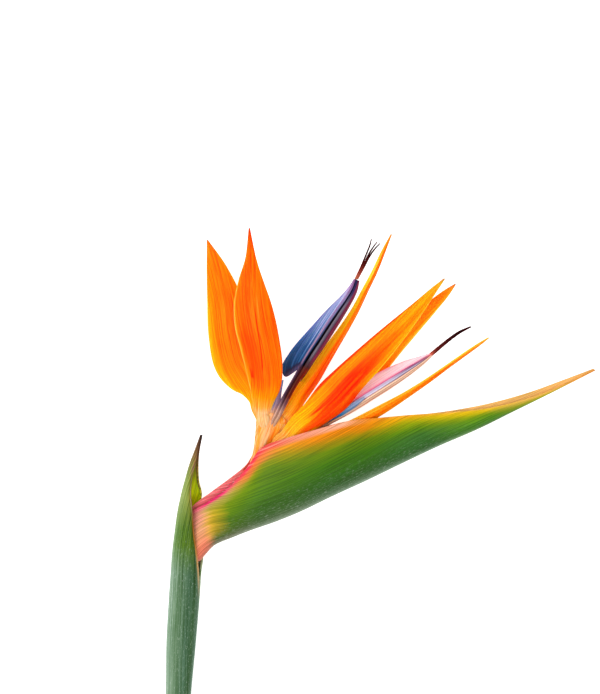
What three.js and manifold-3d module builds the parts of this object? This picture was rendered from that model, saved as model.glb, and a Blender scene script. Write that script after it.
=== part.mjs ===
// A cut bird of paradise flower, lying on its side on a flat surface.
// Millimetres. +Z is up, the cut stem points along -Y and the long bract along +X.
// The origin lies on the surface, under the middle of the flower's outline.
import * as THREE from 'three';
import { mergeVertices } from 'three/addons/utils/BufferGeometryUtils.js';
import Module from 'manifold-3d';

const wasm = await Module();
wasm.setup();

// Driving dimensions
const SHEATH_WALL = 1.0;        // thickness of the rolled bract round the stem
const SHEATH_EDGE = 0.6;        // its thickness where it grows out of the stem
const SHEATH_GAIN = 5;          // thickness it would gain from there over its whole length
const SPATHE_WALL = 1.0;        // thickness of the boat-shaped bract at its foot
const SPATHE_TIP_WALL = 0.8;    // its thickness at its tip
const WALL_OF_DEPTH = 0.55;     // most of a bract's half depth that its wall may take, near a tip
const MARGIN_SHARE = 0.5;       // share of its thickness that the boat-shaped bract keeps at its margins
const KEEL_ROUND = 1.55;        // how bluntly the boat-shaped bract is folded at its keel
const SPATHE_BULGE = 0.86;      // where its sides swell most: under 1 is nearer to the keel
const BLADE_RIB = 1.5;          // thickness of a sepal along its middle
const BLADE_EDGE = 0.7;         // thickness of a sepal at its edge
const BLADE_TIP = 0.3;          // half width that a sepal's tip keeps
const RIB_PER_WIDTH = 0.2;      // thickness that the middle gains for each millimetre of half width
const KEELED = 0.85;            // how sharply a right-hand sepal is creased, 1 being a straight-sided fold
const BOATED = 0.25;            // the same for the other sepals
const HOODED = 0.3;             // the same for the hood petals
const WING_EDGE = 0.35;         // half thickness of an arrow's wings at their edges
const WING_LEAST = 0.05;        // reach that a wing keeps where there is none to see

// Facets, round and along each piece
const STEM_SIDES = 14;          // flat faces round the stem, one of them underneath
const TUBE_SIDES = 10;          // flat faces round a floret's tube
const BUD_SIDES = 8;            // flat faces round a closed floret
const THREAD_SIDES = 6;         // flat faces round a style
const ALONG = { stem: 20, sheath: 26, spathe: 34, base: 16, bud: 10, sepal: 20, hood: 8, arrow: 22, style: 6 };
const ACROSS = { sheath: 7, spathe: 7, sepal: 3, hood: 2 };  // facets from the middle of a sheet to its edge

// The stem: x, y, z and radius, from the cut end to the florets' root inside the boat-shaped bract.
const STEM = [
  [-94.0, -149.8, 4.7, 4.7],
  [-93.0, -130.0, 4.9, 4.5],
  [-91.8, -108.0, 5.5, 4.3],
  [-91.2, -97.0, 5.8, 4.3],
  [-89.1, -60.0, 6.1, 4.3],
  [-87.2, -25.0, 6.5, 4.4],
  [-86.2, -6.0, 6.8, 3.4],
  [-84.6, 3.0, 7.2, 2.5],
  [-81.5, 8.5, 7.3, 1.9],
];

// The rolled bract: near margin (x, y, z), spine (x, y, z), far margin (x, y, z), half depth.
const SHEATH = [
  [-86.5, -106.5, 5.9, -97.0, -106.5, 5.5, -86.5, -106.5, 5.2, 5.2],
  [-85.7, -100.0, 6.1, -97.0, -100.0, 5.8, -85.7, -100.0, 5.4, 5.7],
  [-84.5, -82.0, 6.3, -96.0, -82.0, 6.0, -84.5, -82.0, 5.6, 5.8],
  [-83.2, -59.5, 6.5, -94.7, -59.5, 6.1, -83.2, -59.5, 5.8, 5.9],
  [-81.1, -37.0, 6.8, -94.4, -37.0, 6.3, -81.1, -37.0, 6.1, 6.3],
  [-79.5, -17.0, 7.6, -93.3, -17.0, 6.6, -79.4, -16.5, 5.8, 6.6],
  [-79.4, -6.5, 9.4, -92.5, -5.5, 6.8, -78.7, -5.2, 4.3, 6.7],
  [-80.2, 4.5, 12.4, -91.8, 4.5, 6.9, -77.9, 3.5, 2.2, 5.6],
  [-81.6, 15.0, 13.4, -90.7, 13.5, 7.0, -80.6, 13.5, 1.2, 4.4],
  [-82.1, 23.5, 12.8, -89.4, 23.0, 7.0, -79.4, 24.5, 1.8, 3.6],
  [-82.9, 31.0, 11.6, -87.6, 31.5, 7.1, -78.4, 31.0, 3.2, 3.0],
  [-82.6, 38.0, 10.4, -85.8, 38.3, 7.3, -79.6, 36.8, 4.4, 2.4],
  [-81.2, 44.5, 9.5, -83.9, 44.8, 7.6, -79.8, 43.8, 5.8, 1.6],
  [-80.0, 50.8, 8.9, -81.6, 50.9, 8.0, -79.3, 50.2, 7.0, 1.0],
  [-78.2, 57.7, 8.6, -79.0, 57.9, 8.3, -77.9, 57.7, 7.9, 0.5],
];

// The boat-shaped bract, in the same way, with the keel in place of the spine.
const SPATHE = [
  [-86.9, 7.6, 8.8, -80.2, 0.4, 7.1, -86.9, 8.0, 5.6, 4.1],
  [-85.9, 14.8, 8.9, -78.6, 1.4, 7.2, -85.9, 15.8, 6.0, 4.3],
  [-83.0, 22.8, 9.2, -76.5, 3.9, 7.5, -82.6, 25.2, 6.6, 4.7],
  [-75.5, 27.6, 10.0, -72.2, 8.2, 8.0, -74.4, 31.8, 7.3, 6.2],
  [-66.4, 33.9, 11.0, -64.6, 11.5, 8.8, -65.2, 38.6, 7.5, 8.4],
  [-58.4, 42.6, 13.4, -56.0, 14.9, 9.3, -58.4, 44.2, 6.3, 9.6],
  [-51.2, 52.3, 15.4, -44.8, 18.8, 9.6, -53.0, 51.6, 4.9, 10.0],
  [-40.7, 56.4, 16.4, -33.1, 23.6, 9.7, -41.7, 55.8, 3.8, 10.0],
  [-26.4, 60.6, 16.4, -19.2, 30.3, 9.3, -26.8, 60.3, 3.8, 9.6],
  [-11.6, 64.4, 14.2, -3.8, 37.3, 8.5, -11.6, 64.0, 4.0, 8.7],
  [3.0, 65.7, 10.4, 12.5, 45.1, 7.3, 3.0, 65.3, 4.6, 7.4],
  [17.0, 66.9, 8.0, 29.0, 52.8, 6.4, 17.0, 66.6, 5.2, 5.8],
  [33.7, 68.0, 7.3, 46.4, 60.3, 6.2, 33.8, 68.6, 5.2, 4.0],
  [52.7, 70.2, 7.2, 62.8, 68.4, 6.3, 51.8, 72.0, 5.2, 2.6],
  [69.8, 74.6, 7.3, 78.0, 75.9, 6.6, 69.0, 76.8, 5.8, 1.6],
  [85.4, 80.6, 7.7, 87.8, 80.9, 7.1, 84.4, 82.4, 6.5, 1.2],
  [98.5, 87.0, 8.0, 99.5, 86.9, 7.6, 98.3, 87.7, 7.2, 0.7],
];

// The florets' fleshy tubes, from the ovary to the foot of the sepals: x, y, z, half width
// and half depth. They spread like a hand where the sepals part.
const TUBES = {
  floret_1_base: [
    [-81.1, 9.1, 7.3, 1.4, 1.4],
    [-74.4, 15.2, 7.8, 2.2, 2.2],
    [-66.0, 22.6, 8.8, 2.8, 2.8],
    [-59.4, 31.4, 9.4, 2.9, 2.9],
    [-54.8, 41.0, 9.8, 3.0, 3.0],
    [-52.0, 50.0, 10.0, 3.2, 3.2],
    [-50.2, 56.2, 10.2, 4.3, 3.4],
    [-48.2, 61.4, 10.4, 6.1, 3.0],
    [-46.5, 65.9, 10.3, 7.7, 2.3],
  ],
  floret_2_base: [
    [-66.4, 15.4, 8.2, 1.2, 1.2],
    [-60.0, 20.6, 8.7, 2.2, 2.2],
    [-52.8, 27.6, 9.2, 2.9, 2.9],
    [-47.6, 36.0, 9.6, 3.2, 3.0],
    [-44.2, 43.6, 9.8, 3.8, 3.0],
    [-41.0, 49.2, 10.0, 4.2, 3.0],
    [-38.0, 53.6, 10.1, 5.2, 2.4],
  ],
};

// The two florets still folded up inside: x, y, z, radius.
const BUDS = {
  bud_1: [
    [-58.6, 17.0, 8.7, 0.9],
    [-42.0, 26.4, 9.2, 2.4],
    [-26.0, 35.4, 8.8, 2.9],
    [-9.0, 44.0, 8.2, 2.6],
    [8.0, 51.2, 7.2, 1.8],
    [24.0, 57.2, 6.6, 0.7],
  ],
  bud_2: [
    [-36.0, 34.8, 8.8, 0.9],
    [-25.0, 43.0, 8.6, 2.2],
    [-12.0, 50.8, 8.2, 2.7],
    [2.0, 56.6, 7.4, 2.2],
    [16.0, 61.2, 6.7, 1.3],
    [27.0, 64.0, 6.5, 0.6],
  ],
};

// The sepals' blades, from foot to tip: x, y, z, half width, roll in degrees, height of the middle fold.
const BLADES = {
  floret_1_sepal_left: [
    [-54.3, 69.3, 9.4, 1.6, 14, 0.3],
    [-54.7, 73.8, 8.6, 2.7, 14, 0.6],
    [-56.5, 78.8, 7.6, 5.2, 15, 1.0],
    [-60.0, 84.4, 6.6, 8.7, 16, 1.4],
    [-63.6, 91.6, 6.0, 10.4, 17, 1.6],
    [-66.2, 103.6, 6.2, 9.9, 18, 1.5],
    [-68.0, 118.0, 7.2, 8.5, 19, 1.2],
    [-71.6, 132.6, 8.8, 4.9, 20, 0.7],
    [-75.7, 145.6, 9.8, 0.3, 20, 0.0],
  ],
  floret_1_sepal_front: [
    [-50.8, 68.1, 12.3, 3.4, -3, 0.5],
    [-50.3, 74.6, 14.8, 5.4, -3, 1.3],
    [-49.6, 81.0, 16.8, 7.3, -1, 1.9],
    [-50.2, 89.6, 18.8, 8.4, 0, 2.2],
    [-51.8, 98.6, 20.8, 8.9, -1, 2.2],
    [-53.8, 107.6, 22.7, 9.2, -2, 2.0],
    [-55.2, 117.0, 24.5, 8.2, -2, 1.6],
    [-55.8, 127.0, 26.2, 5.5, -2, 1.1],
    [-55.8, 137.0, 27.5, 2.4, -1, 0.5],
    [-56.4, 150.0, 28.2, 0.3, 0, 0.0],
  ],
  floret_1_sepal_right: [
    [-41.2, 65.3, 10.2, 2.2, -6, 0.3],
    [-37.8, 69.4, 9.3, 3.3, -8, 1.3],
    [-33.9, 75.9, 7.8, 3.7, -10, 2.8],
    [-28.3, 83.9, 6.7, 3.7, -10, 3.4],
    [-23.5, 91.4, 7.2, 3.2, -10, 3.2],
    [-18.6, 99.0, 8.3, 2.7, -10, 2.8],
    [-13.7, 106.5, 9.6, 2.2, -10, 2.3],
    [-9.1, 114.2, 10.8, 1.8, -10, 1.8],
    [-4.7, 123.0, 12.2, 1.5, -10, 1.4],
    [-0.6, 131.1, 13.4, 1.3, -8, 1.0],
    [3.0, 139.4, 14.6, 1.0, -6, 0.6],
    [6.9, 147.9, 15.8, 0.3, 0, 0.1],
  ],
  floret_2_sepal_front: [
    [-38.6, 55.6, 12.7, 5.4, 2, 0.5],
    [-33.6, 61.2, 13.8, 6.1, -1, 1.0],
    [-27.5, 66.3, 14.9, 7.0, -5, 1.5],
    [-19.4, 75.2, 16.6, 8.2, -8, 2.0],
    [-12.2, 83.0, 18.0, 7.5, -8, 2.0],
    [-4.4, 90.8, 19.4, 6.8, -8, 1.8],
    [3.8, 99.2, 20.7, 5.8, -9, 1.5],
    [11.8, 107.6, 21.9, 4.4, -9, 1.1],
    [19.2, 115.6, 23.0, 2.9, -8, 0.7],
    [25.0, 122.2, 23.8, 1.6, -6, 0.3],
    [30.2, 127.8, 24.2, 0.3, 0, 0.0],
  ],
  floret_2_sepal_behind: [
    [-37.6, 55.5, 8.3, 2.6, 1, -0.3],
    [-28.6, 61.8, 6.8, 3.6, 2, -0.6],
    [-18.4, 69.6, 5.8, 5.2, 3, -1.0],
    [-9.4, 77.6, 5.0, 5.8, 4, -1.2],
    [-1.8, 86.2, 4.5, 5.4, 5, -1.2],
    [5.6, 95.0, 4.3, 4.9, 5, -1.0],
    [13.0, 102.8, 4.6, 4.2, 5, -0.8],
    [19.8, 109.8, 5.2, 3.5, 5, -0.6],
    [26.2, 116.2, 6.2, 2.7, 3, -0.4],
    [31.8, 121.6, 7.4, 1.7, 2, -0.2],
    [36.1, 125.8, 8.4, 0.3, 0, 0.0],
  ],
  floret_2_sepal_right: [
    [-34.2, 52.9, 10.0, 1.4, -4, 0.4],
    [-26.0, 56.0, 10.0, 1.8, -4, 0.8],
    [-17.2, 59.4, 9.6, 2.0, -4, 1.2],
    [-9.8, 62.7, 9.0, 2.3, -5, 1.6],
    [-2.5, 66.3, 8.6, 2.4, -6, 2.0],
    [4.6, 70.3, 8.8, 2.2, -8, 2.2],
    [12.3, 74.9, 9.2, 1.7, -8, 2.0],
    [19.1, 79.3, 9.8, 1.4, -8, 1.6],
    [25.8, 83.9, 10.3, 1.2, -8, 1.3],
    [33.1, 89.2, 10.8, 1.0, -8, 1.1],
    [40.4, 94.4, 11.2, 0.9, -6, 0.8],
    [46.3, 98.5, 11.5, 0.7, -4, 0.5],
    [50.8, 101.6, 11.8, 0.3, 0, 0.1],
  ],
};

// The blue arrows, from foot to tip: x, y, z, shaft half width, near wing, far wing, sweep of the wings
// back towards the foot, roll in degrees.
const ARROWS = {
  floret_1_arrow: [
    [-44.4, 66.2, 12.8, 1.5, 0, 0, 0, 6],
    [-42.0, 71.0, 13.3, 1.6, 0, 0, 0, 10],
    [-39.3, 76.2, 13.2, 1.6, 0, 0, 0, 12],
    [-36.3, 81.4, 13.0, 1.6, 0, 0, 0, 14],
    [-33.3, 86.3, 12.8, 1.8, 0.2, 0.2, 0, 15],
    [-32.0, 88.6, 12.4, 2.2, 3.4, 0.8, 8.4, 16],
    [-30.3, 91.3, 12.8, 2.5, 6.8, 1.2, 9.2, 17],
    [-27.9, 95.0, 13.3, 2.6, 7.1, 1.3, 6.4, 18],
    [-24.6, 99.9, 13.9, 2.6, 6.4, 1.3, 4.0, 19],
    [-20.7, 105.9, 14.6, 2.6, 5.0, 1.1, 2.8, 20],
    [-16.5, 112.2, 15.3, 2.4, 3.8, 0.9, 1.8, 21],
    [-12.6, 118.2, 16.0, 2.0, 2.3, 0.7, 1.0, 22],
    [-10.0, 122.9, 16.5, 1.7, 1.3, 0.5, 0.4, 22],
    [-8.5, 127.4, 17.0, 1.1, 0.4, 0.3, 0, 22],
  ],
  floret_2_arrow: [
    [-37.4, 55.9, 10.4, 1.4, 0, 0, 0, 0],
    [-30.2, 60.0, 10.3, 1.5, 0, 0, 0, 0],
    [-23.2, 63.4, 10.3, 1.8, 0, 0, 0, 0],
    [-17.8, 66.7, 10.4, 2.3, 0, 0, 0, 0],
    [-12.5, 70.0, 10.5, 2.7, 0, 0, 0, 0],
    [-7.1, 73.3, 10.6, 2.8, 0.3, 0.2, 0, 0],
    [-3.7, 75.5, 10.7, 2.8, 2.0, 0.5, 2.6, 0],
    [0.1, 77.9, 10.9, 2.8, 3.4, 0.8, 2.6, 0],
    [4.7, 80.8, 11.0, 2.8, 3.4, 0.8, 2.0, 0],
    [10.0, 84.1, 11.2, 2.6, 3.0, 0.7, 1.2, 0],
    [15.3, 87.5, 11.5, 2.2, 2.2, 0.6, 0.6, 0],
    [20.2, 90.6, 11.8, 1.6, 1.2, 0.4, 0.3, 0],
    [24.9, 93.9, 12.1, 0.7, 0.3, 0.2, 0, 0],
  ],
};

// The small petals that hood the arrows' feet, in the form of the sepals' blades.
const HOODS = {
  floret_1_hood: [
    [-46.3, 68.5, 11.0, 1.0, -20, 0.2],
    [-45.1, 72.8, 11.6, 1.4, -20, 0.4],
    [-43.4, 77.8, 12.9, 1.3, -20, 0.4],
    [-41.6, 82.6, 14.4, 0.3, -15, 0.0],
  ],
  floret_2_hood: [
    [-27.4, 62.9, 12.8, 0.8, -10, 0.2],
    [-19.6, 66.9, 13.4, 1.4, -10, 0.5],
    [-11.4, 71.6, 14.2, 1.4, -10, 0.5],
    [-5.4, 75.4, 14.9, 0.3, -10, 0.0],
  ],
};

// The styles and the stigmas' threads, as tubes: x, y, z, radius.
const STYLES = {
  floret_1_style: [
    [[-8.4, 128.3, 17.2, 0.7], [-5.9, 133.6, 19.0, 0.8], [-4.2, 138.0, 20.0, 0.75]],
    [[-4.3, 137.6, 19.9, 0.65], [-3.0, 141.4, 21.2, 0.6], [-2.3, 145.2, 22.2, 0.4]],
    [[-4.3, 137.4, 19.8, 0.65], [-1.4, 141.6, 20.4, 0.55], [1.4, 144.2, 20.4, 0.4]],
  ],
  floret_2_style: [
    [[25.4, 94.3, 12.1, 0.7], [32.4, 100.4, 13.4, 0.8], [37.4, 104.0, 14.2, 0.7], [42.3, 106.4, 15.0, 0.4]],
  ],
};

const COLOURS = {
  stem: '#6f8f74',
  sheath: '#64855a',
  spathe: '#3f7a33',
  base: '#fbb070',
  bud: '#f2c48a',
  sepal: '#fb8600',
  arrow: '#4a5f96',
  hood: '#7a86b8',
  style: '#5a1c18',
};

// A row between the given ones, by a Catmull-Rom curve through each column.
function rowAt(rows, u) {
  const place = u * (rows.length - 1);
  const k = Math.min(Math.floor(place), rows.length - 2);
  const t = place - k;
  const b = rows[k];
  const c = rows[k + 1];
  const a = rows[k - 1] ?? b.map((v, i) => 2 * v - c[i]);
  const d = rows[k + 2] ?? c.map((v, i) => 2 * v - b[i]);
  return b.map((v, i) => 0.5 * (2 * v + (c[i] - a[i]) * t
    + (2 * a[i] - 5 * v + 4 * c[i] - d[i]) * t * t
    + (3 * v - a[i] - 3 * c[i] + d[i]) * t * t * t));
}

// The directions at a place along a path: ahead, to the right of it and up, turned by the roll.
function frameAt(rows, u, roll) {
  const step = 0.01;
  const before = new THREE.Vector3(...rowAt(rows, Math.max(u - step, 0)));
  const after = new THREE.Vector3(...rowAt(rows, Math.min(u + step, 1)));
  const ahead = after.sub(before).normalize();
  const side = ahead.clone().cross(new THREE.Vector3(0, 0, 1)).normalize();
  const up = side.clone().cross(ahead);
  const angle = THREE.MathUtils.degToRad(roll);
  return {
    ahead,
    side: side.clone().multiplyScalar(Math.cos(angle)).addScaledVector(up, Math.sin(angle)),
    up: up.clone().multiplyScalar(Math.cos(angle)).addScaledVector(side, -Math.sin(angle)),
  };
}

// A closed body from rings of points, each ring closed on itself and the two ends capped from their middles.
function loft(rings) {
  const count = rings[0].length;
  const points = rings.flat();
  const triangles = [];
  for (let i = 0; i < rings.length - 1; i += 1) {
    for (let j = 0; j < count; j += 1) {
      const a = i * count + j;
      const b = i * count + (j + 1) % count;
      triangles.push([a, b, b + count], [a, b + count, a + count]);
    }
  }
  for (const [ring, first, flip] of [[rings[0], 0, true], [rings.at(-1), (rings.length - 1) * count, false]]) {
    const middle = ring.reduce((sum, p) => sum.add(p), new THREE.Vector3()).divideScalar(count);
    points.push(middle);
    for (let j = 0; j < count; j += 1) {
      const a = first + j;
      const b = first + (j + 1) % count;
      triangles.push(flip ? [b, a, points.length - 1] : [a, b, points.length - 1]);
    }
  }
  return bodyOf(points, triangles);
}

// A closed body from the two faces of a sheet, given as two grids of points with the same layout.
function sheet(front, back) {
  const rows = front.length;
  const columns = front[0].length;
  const points = [...front.flat(), ...back.flat()];
  const shift = rows * columns;
  const triangles = [];
  const edge = [];
  for (let i = 0; i < rows - 1; i += 1) {
    for (let j = 0; j < columns - 1; j += 1) {
      const a = i * columns + j;
      const quad = [[a, a + 1, a + columns + 1], [a, a + columns + 1, a + columns]];
      for (const [p, q, r] of quad) {
        triangles.push([p, q, r], [p + shift, r + shift, q + shift]);
      }
    }
  }
  for (let j = 0; j < columns - 1; j += 1) edge.push(j);
  for (let i = 0; i < rows - 1; i += 1) edge.push(i * columns + columns - 1);
  for (let j = columns - 1; j > 0; j -= 1) edge.push((rows - 1) * columns + j);
  for (let i = rows - 1; i > 0; i -= 1) edge.push(i * columns);
  edge.forEach((a, k) => {
    const b = edge[(k + 1) % edge.length];
    triangles.push([b, a, a + shift], [b, a + shift, b + shift]);
  });
  return bodyOf(points, triangles);
}

// A geometry from points and triangles, turned inside out where its volume comes out negative.
function bodyOf(points, triangles) {
  let volume = 0;
  for (const [a, b, c] of triangles) {
    volume += points[a].dot(points[b].clone().cross(points[c]));
  }
  const outward = volume > 0 ? triangles : triangles.map(([a, b, c]) => [a, c, b]);
  const geometry = new THREE.BufferGeometry();
  geometry.setAttribute('position', new THREE.Float32BufferAttribute(points.flatMap((p) => p.toArray()), 3));
  geometry.setIndex(outward.flat());
  return geometry;
}

// Two or more bodies that grow out of each other, joined as one.
function grownTogether(geometries) {
  const solids = geometries.map((geometry) => {
    const welded = mergeVertices(geometry);
    return new wasm.Manifold(new wasm.Mesh({
      numProp: 3,
      vertProperties: new Float32Array(welded.attributes.position.array),
      triVerts: new Uint32Array(welded.index.array),
    }));
  });
  const joined = solids.reduce((all, solid) => all.add(solid)).getMesh();
  const geometry = new THREE.BufferGeometry();
  geometry.setAttribute('position', new THREE.Float32BufferAttribute(joined.vertProperties, 3));
  geometry.setIndex([...joined.triVerts]);
  return geometry;
}

// A round tube along a path whose rows are x, y, z and radius, with one flat side underneath.
function tube(rows, sides, steps) {
  const rings = [];
  for (let i = 0; i <= steps; i += 1) {
    const u = i / steps;
    const [x, y, z, radius, depth = radius] = rowAt(rows, u);
    const { side, up } = frameAt(rows, u, 0);
    const corner = 1 / Math.cos(Math.PI / sides);
    const ring = [];
    for (let j = 0; j < sides; j += 1) {
      const angle = (2 * Math.PI * (j + 0.5)) / sides - Math.PI / 2;
      ring.push(new THREE.Vector3(x, y, z)
        .addScaledVector(side, radius * corner * Math.cos(angle))
        .addScaledVector(up, depth * corner * Math.sin(angle)));
    }
    rings.push(ring);
  }
  return loft(rings);
}

// One section of a folded bract, from the near margin round the keel to the far margin, on a half
// circle where no keel is given. Between margin and keel it swells to the half depth, and where it
// would sink into the surface it lies flat. It is set in from the outer face by the wall's thickness.
function sectionOf(row, round, across, wall) {
  const near = new THREE.Vector3(...row.slice(0, 3));
  const keel = new THREE.Vector3(...row.slice(3, 6));
  const far = new THREE.Vector3(...row.slice(6, 9));
  const inward = near.clone().add(far).multiplyScalar(0.5).sub(keel).setLength(wall);
  keel.add(inward);
  if (round.keel) {
    near.z -= MARGIN_SHARE * wall;
    far.z += MARGIN_SHARE * wall;
  } else {
    near.sub(inward);
    far.sub(inward);
  }
  const line = [];
  for (let j = -across; j <= across; j += 1) {
    const s = Math.abs(j) / across;
    const swell = Math.sin(Math.PI * s ** round.bulge) * (row[9] - wall) * (j < 0 ? 1 : -1);
    const share = round.keel ? s ** round.keel : (1 - Math.cos(Math.PI * s)) / 2;
    const point = keel.clone().lerp(j < 0 ? near : far, share);
    point.z = Math.max(point.z + swell, wall);
    line.push(point);
  }
  return line;
}

// A folded bract, as a sheet with a wall that thins where the bract gets narrow.
function bract(rows, wall, round, steps, across) {
  const outer = [];
  const inner = [];
  for (let i = 0; i <= steps; i += 1) {
    const row = rowAt(rows, i / steps);
    outer.push(sectionOf(row, round, across, 0));
    inner.push(sectionOf(row, round, across, Math.min(wall(i / steps), WALL_OF_DEPTH * row[9])));
  }
  return sheet(outer, inner);
}

// A blade: flat from edge to edge apart from the fold or swell of its middle, thickest along its rib.
// Its two faces lie apart along the blade's up, further where the fold is steep.
function blade(rows, crease, steps, across) {
  const front = [];
  const back = [];
  for (let i = 0; i <= steps; i += 1) {
    const u = i / steps;
    const [x, y, z, half, roll, ridge] = rowAt(rows, u);
    const { side, up } = frameAt(rows, u, roll);
    const width = Math.max(half, BLADE_TIP);
    const rib = Math.min(BLADE_RIB, BLADE_EDGE + RIB_PER_WIDTH * width);
    const frontLine = [];
    const backLine = [];
    for (let j = -across; j <= across; j += 1) {
      const v = j / across;
      const lift = ridge * ((1 - crease) * (1 - v * v) + crease * (1 - Math.abs(v)));
      const slope = (ridge * ((1 - crease) * 2 * Math.abs(v) + crease)) / width;
      const skin = 0.5 * (BLADE_EDGE + (rib - BLADE_EDGE) * (1 - v * v)) * Math.hypot(1, slope);
      const middle = new THREE.Vector3(x, y, z).addScaledVector(side, width * v).addScaledVector(up, lift);
      frontLine.push(middle.clone().addScaledVector(up, skin));
      backLine.push(middle.clone().addScaledVector(up, -skin));
    }
    front.push(frontLine);
    back.push(backLine);
  }
  return sheet(front, back);
}

// An arrow: a shaft with a groove along its upper side, and a wing on either side of it.
function arrow(rows, steps) {
  const rings = [];
  for (let i = 0; i <= steps; i += 1) {
    const u = i / steps;
    const [x, y, z, half, nearWing, farWing, sweep, roll] = rowAt(rows, u);
    const { ahead, side, up } = frameAt(rows, u, roll);
    const near = Math.max(nearWing, WING_LEAST);
    const far = Math.max(farWing, WING_LEAST);
    const back = Math.max(sweep, 0);
    const edge = Math.min(WING_EDGE, 0.3 * half + 0.15);
    const section = [
      [-half - near, -0.15 * near + edge, back],
      [-half, 0.55 * half, 0],
      [-0.45 * half, 1.15 * half, 0],
      [0, 0.45 * half, 0],
      [0.45 * half, 1.15 * half, 0],
      [half, 0.4 * half, 0],
      [0.95 * half, -0.4 * half, 0],
      [0.5 * half + 0.12 * far + edge, -half - far, back * 0.8],
      [0.5 * half + 0.12 * far - edge, -half - far, back * 0.8],
      [-0.15 * half, -half, 0],
      [-0.7 * half, -0.7 * half, 0],
      [-half - near, -0.15 * near - edge, back],
    ];
    rings.push(section.map(([a, n, b]) => new THREE.Vector3(x, y, z)
      .addScaledVector(side, a)
      .addScaledVector(up, n)
      .addScaledVector(ahead, -b)));
  }
  return loft(rings);
}

const flower = new THREE.Group();

function add(name, geometry, colour, roughness) {
  const material = new THREE.MeshStandardMaterial({ color: COLOURS[colour], roughness, metalness: 0 });
  const mesh = new THREE.Mesh(geometry, material);
  mesh.name = name;
  flower.add(mesh);
}

const sheathWall = (u) => Math.min(SHEATH_WALL, SHEATH_EDGE + SHEATH_GAIN * u);
const spatheWall = (u) => SPATHE_WALL + (SPATHE_TIP_WALL - SPATHE_WALL) * u;
const boat = { keel: KEEL_ROUND, bulge: SPATHE_BULGE };

add('stem', tube(STEM, STEM_SIDES, ALONG.stem), 'stem', 0.6);
add('sheath', bract(SHEATH, sheathWall, { bulge: 1 }, ALONG.sheath, ACROSS.sheath), 'sheath', 0.6);
add('spathe', bract(SPATHE, spatheWall, boat, ALONG.spathe, ACROSS.spathe), 'spathe', 0.5);
for (const [name, rows] of Object.entries(TUBES)) {
  add(name, tube(rows, TUBE_SIDES, ALONG.base), 'base', 0.5);
}
for (const [name, rows] of Object.entries(BUDS)) {
  add(name, tube(rows, BUD_SIDES, ALONG.bud), 'bud', 0.6);
}
for (const [name, rows] of Object.entries(BLADES)) {
  const crease = name.endsWith('_right') ? KEELED : BOATED;
  add(name, blade(rows, crease, ALONG.sepal, ACROSS.sepal), 'sepal', 0.5);
}
for (const [name, rows] of Object.entries(HOODS)) {
  add(name, blade(rows, HOODED, ALONG.hood, ACROSS.hood), 'hood', 0.5);
}
for (const [name, rows] of Object.entries(ARROWS)) {
  add(name, arrow(rows, ALONG.arrow), 'arrow', 0.45);
}
for (const [name, threads] of Object.entries(STYLES)) {
  const tubes = threads.map((rows) => tube(rows, THREAD_SIDES, ALONG.style));
  add(name, tubes.length > 1 ? grownTogether(tubes) : tubes[0], 'style', 0.6);
}

export default flower;
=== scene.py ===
"""A cut bird of paradise flower on a white surface, seen from straight above."""

import bpy
import numpy as np
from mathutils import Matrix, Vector


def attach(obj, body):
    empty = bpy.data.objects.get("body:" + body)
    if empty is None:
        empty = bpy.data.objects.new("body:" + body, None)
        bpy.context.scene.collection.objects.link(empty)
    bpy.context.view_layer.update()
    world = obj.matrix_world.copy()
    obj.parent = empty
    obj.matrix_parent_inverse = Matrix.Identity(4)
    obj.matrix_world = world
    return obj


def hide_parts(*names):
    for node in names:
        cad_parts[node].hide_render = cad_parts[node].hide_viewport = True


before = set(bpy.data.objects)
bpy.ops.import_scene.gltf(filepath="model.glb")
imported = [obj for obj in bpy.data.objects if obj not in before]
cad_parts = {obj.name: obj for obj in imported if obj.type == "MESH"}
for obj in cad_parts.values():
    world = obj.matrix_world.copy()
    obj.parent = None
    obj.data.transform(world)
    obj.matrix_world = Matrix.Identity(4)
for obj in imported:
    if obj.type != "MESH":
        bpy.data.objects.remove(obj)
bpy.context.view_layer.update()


# The stem
# A fleshy round stalk, grown in one piece and cut across at its lower end. A thin grey bloom of wax
# lies on it, and fine ribs run along it.

MM = 0.001  # the flower's lengths are in millimetres, as in the part's own source
STEM = [
    [-94.0, -149.8, 4.7, 4.7],
    [-93.0, -130.0, 4.9, 4.5],
    [-91.8, -108.0, 5.5, 4.3],
    [-91.2, -97.0, 5.8, 4.3],
    [-89.1, -60.0, 6.1, 4.3],
    [-87.2, -25.0, 6.5, 4.4],
    [-86.2, -6.0, 6.8, 3.4],
    [-84.6, 3.0, 7.2, 2.5],
    [-81.5, 8.5, 7.3, 1.9],
]


def rows_at(rows, u):
    """Values between a list's rows, at fractions u of it: the Catmull-Rom curve through each column."""
    rows = np.array(rows, float)
    rows = np.vstack([2 * rows[0] - rows[1], rows, 2 * rows[-1] - rows[-2]])
    place = np.clip(u, 0, 1) * (len(rows) - 3)
    k = np.minimum(place.astype(int), len(rows) - 4)
    t = (place - k)[:, None]
    a, b, c, d = rows[k], rows[k + 1], rows[k + 2], rows[k + 3]
    return 0.5 * (2 * b + (c - a) * t + (2 * a - 5 * b + 4 * c - d) * t**2 + (3 * b - a - 3 * c + d) * t**3)


def unit(vectors):
    """Each vector divided by its length."""
    return vectors / np.maximum(np.linalg.norm(vectors, axis=-1, keepdims=True), 1e-9)


def headings(rows, u, roll):
    """The directions at places u of a path: ahead, to the right of it and up, the last two turned by
    the roll, in degrees, about the first."""
    before, after = np.maximum(u - 0.01, 0), np.minimum(u + 0.01, 1)
    ahead = unit(rows_at(rows, after)[:, :3] - rows_at(rows, before)[:, :3])
    side = unit(np.cross(ahead, [0.0, 0.0, 1.0]))
    up = np.cross(side, ahead)
    turn = np.radians(np.broadcast_to(roll, u.shape))[:, None]
    return ahead, side * np.cos(turn) + up * np.sin(turn), up * np.cos(turn) - side * np.sin(turn)


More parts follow.
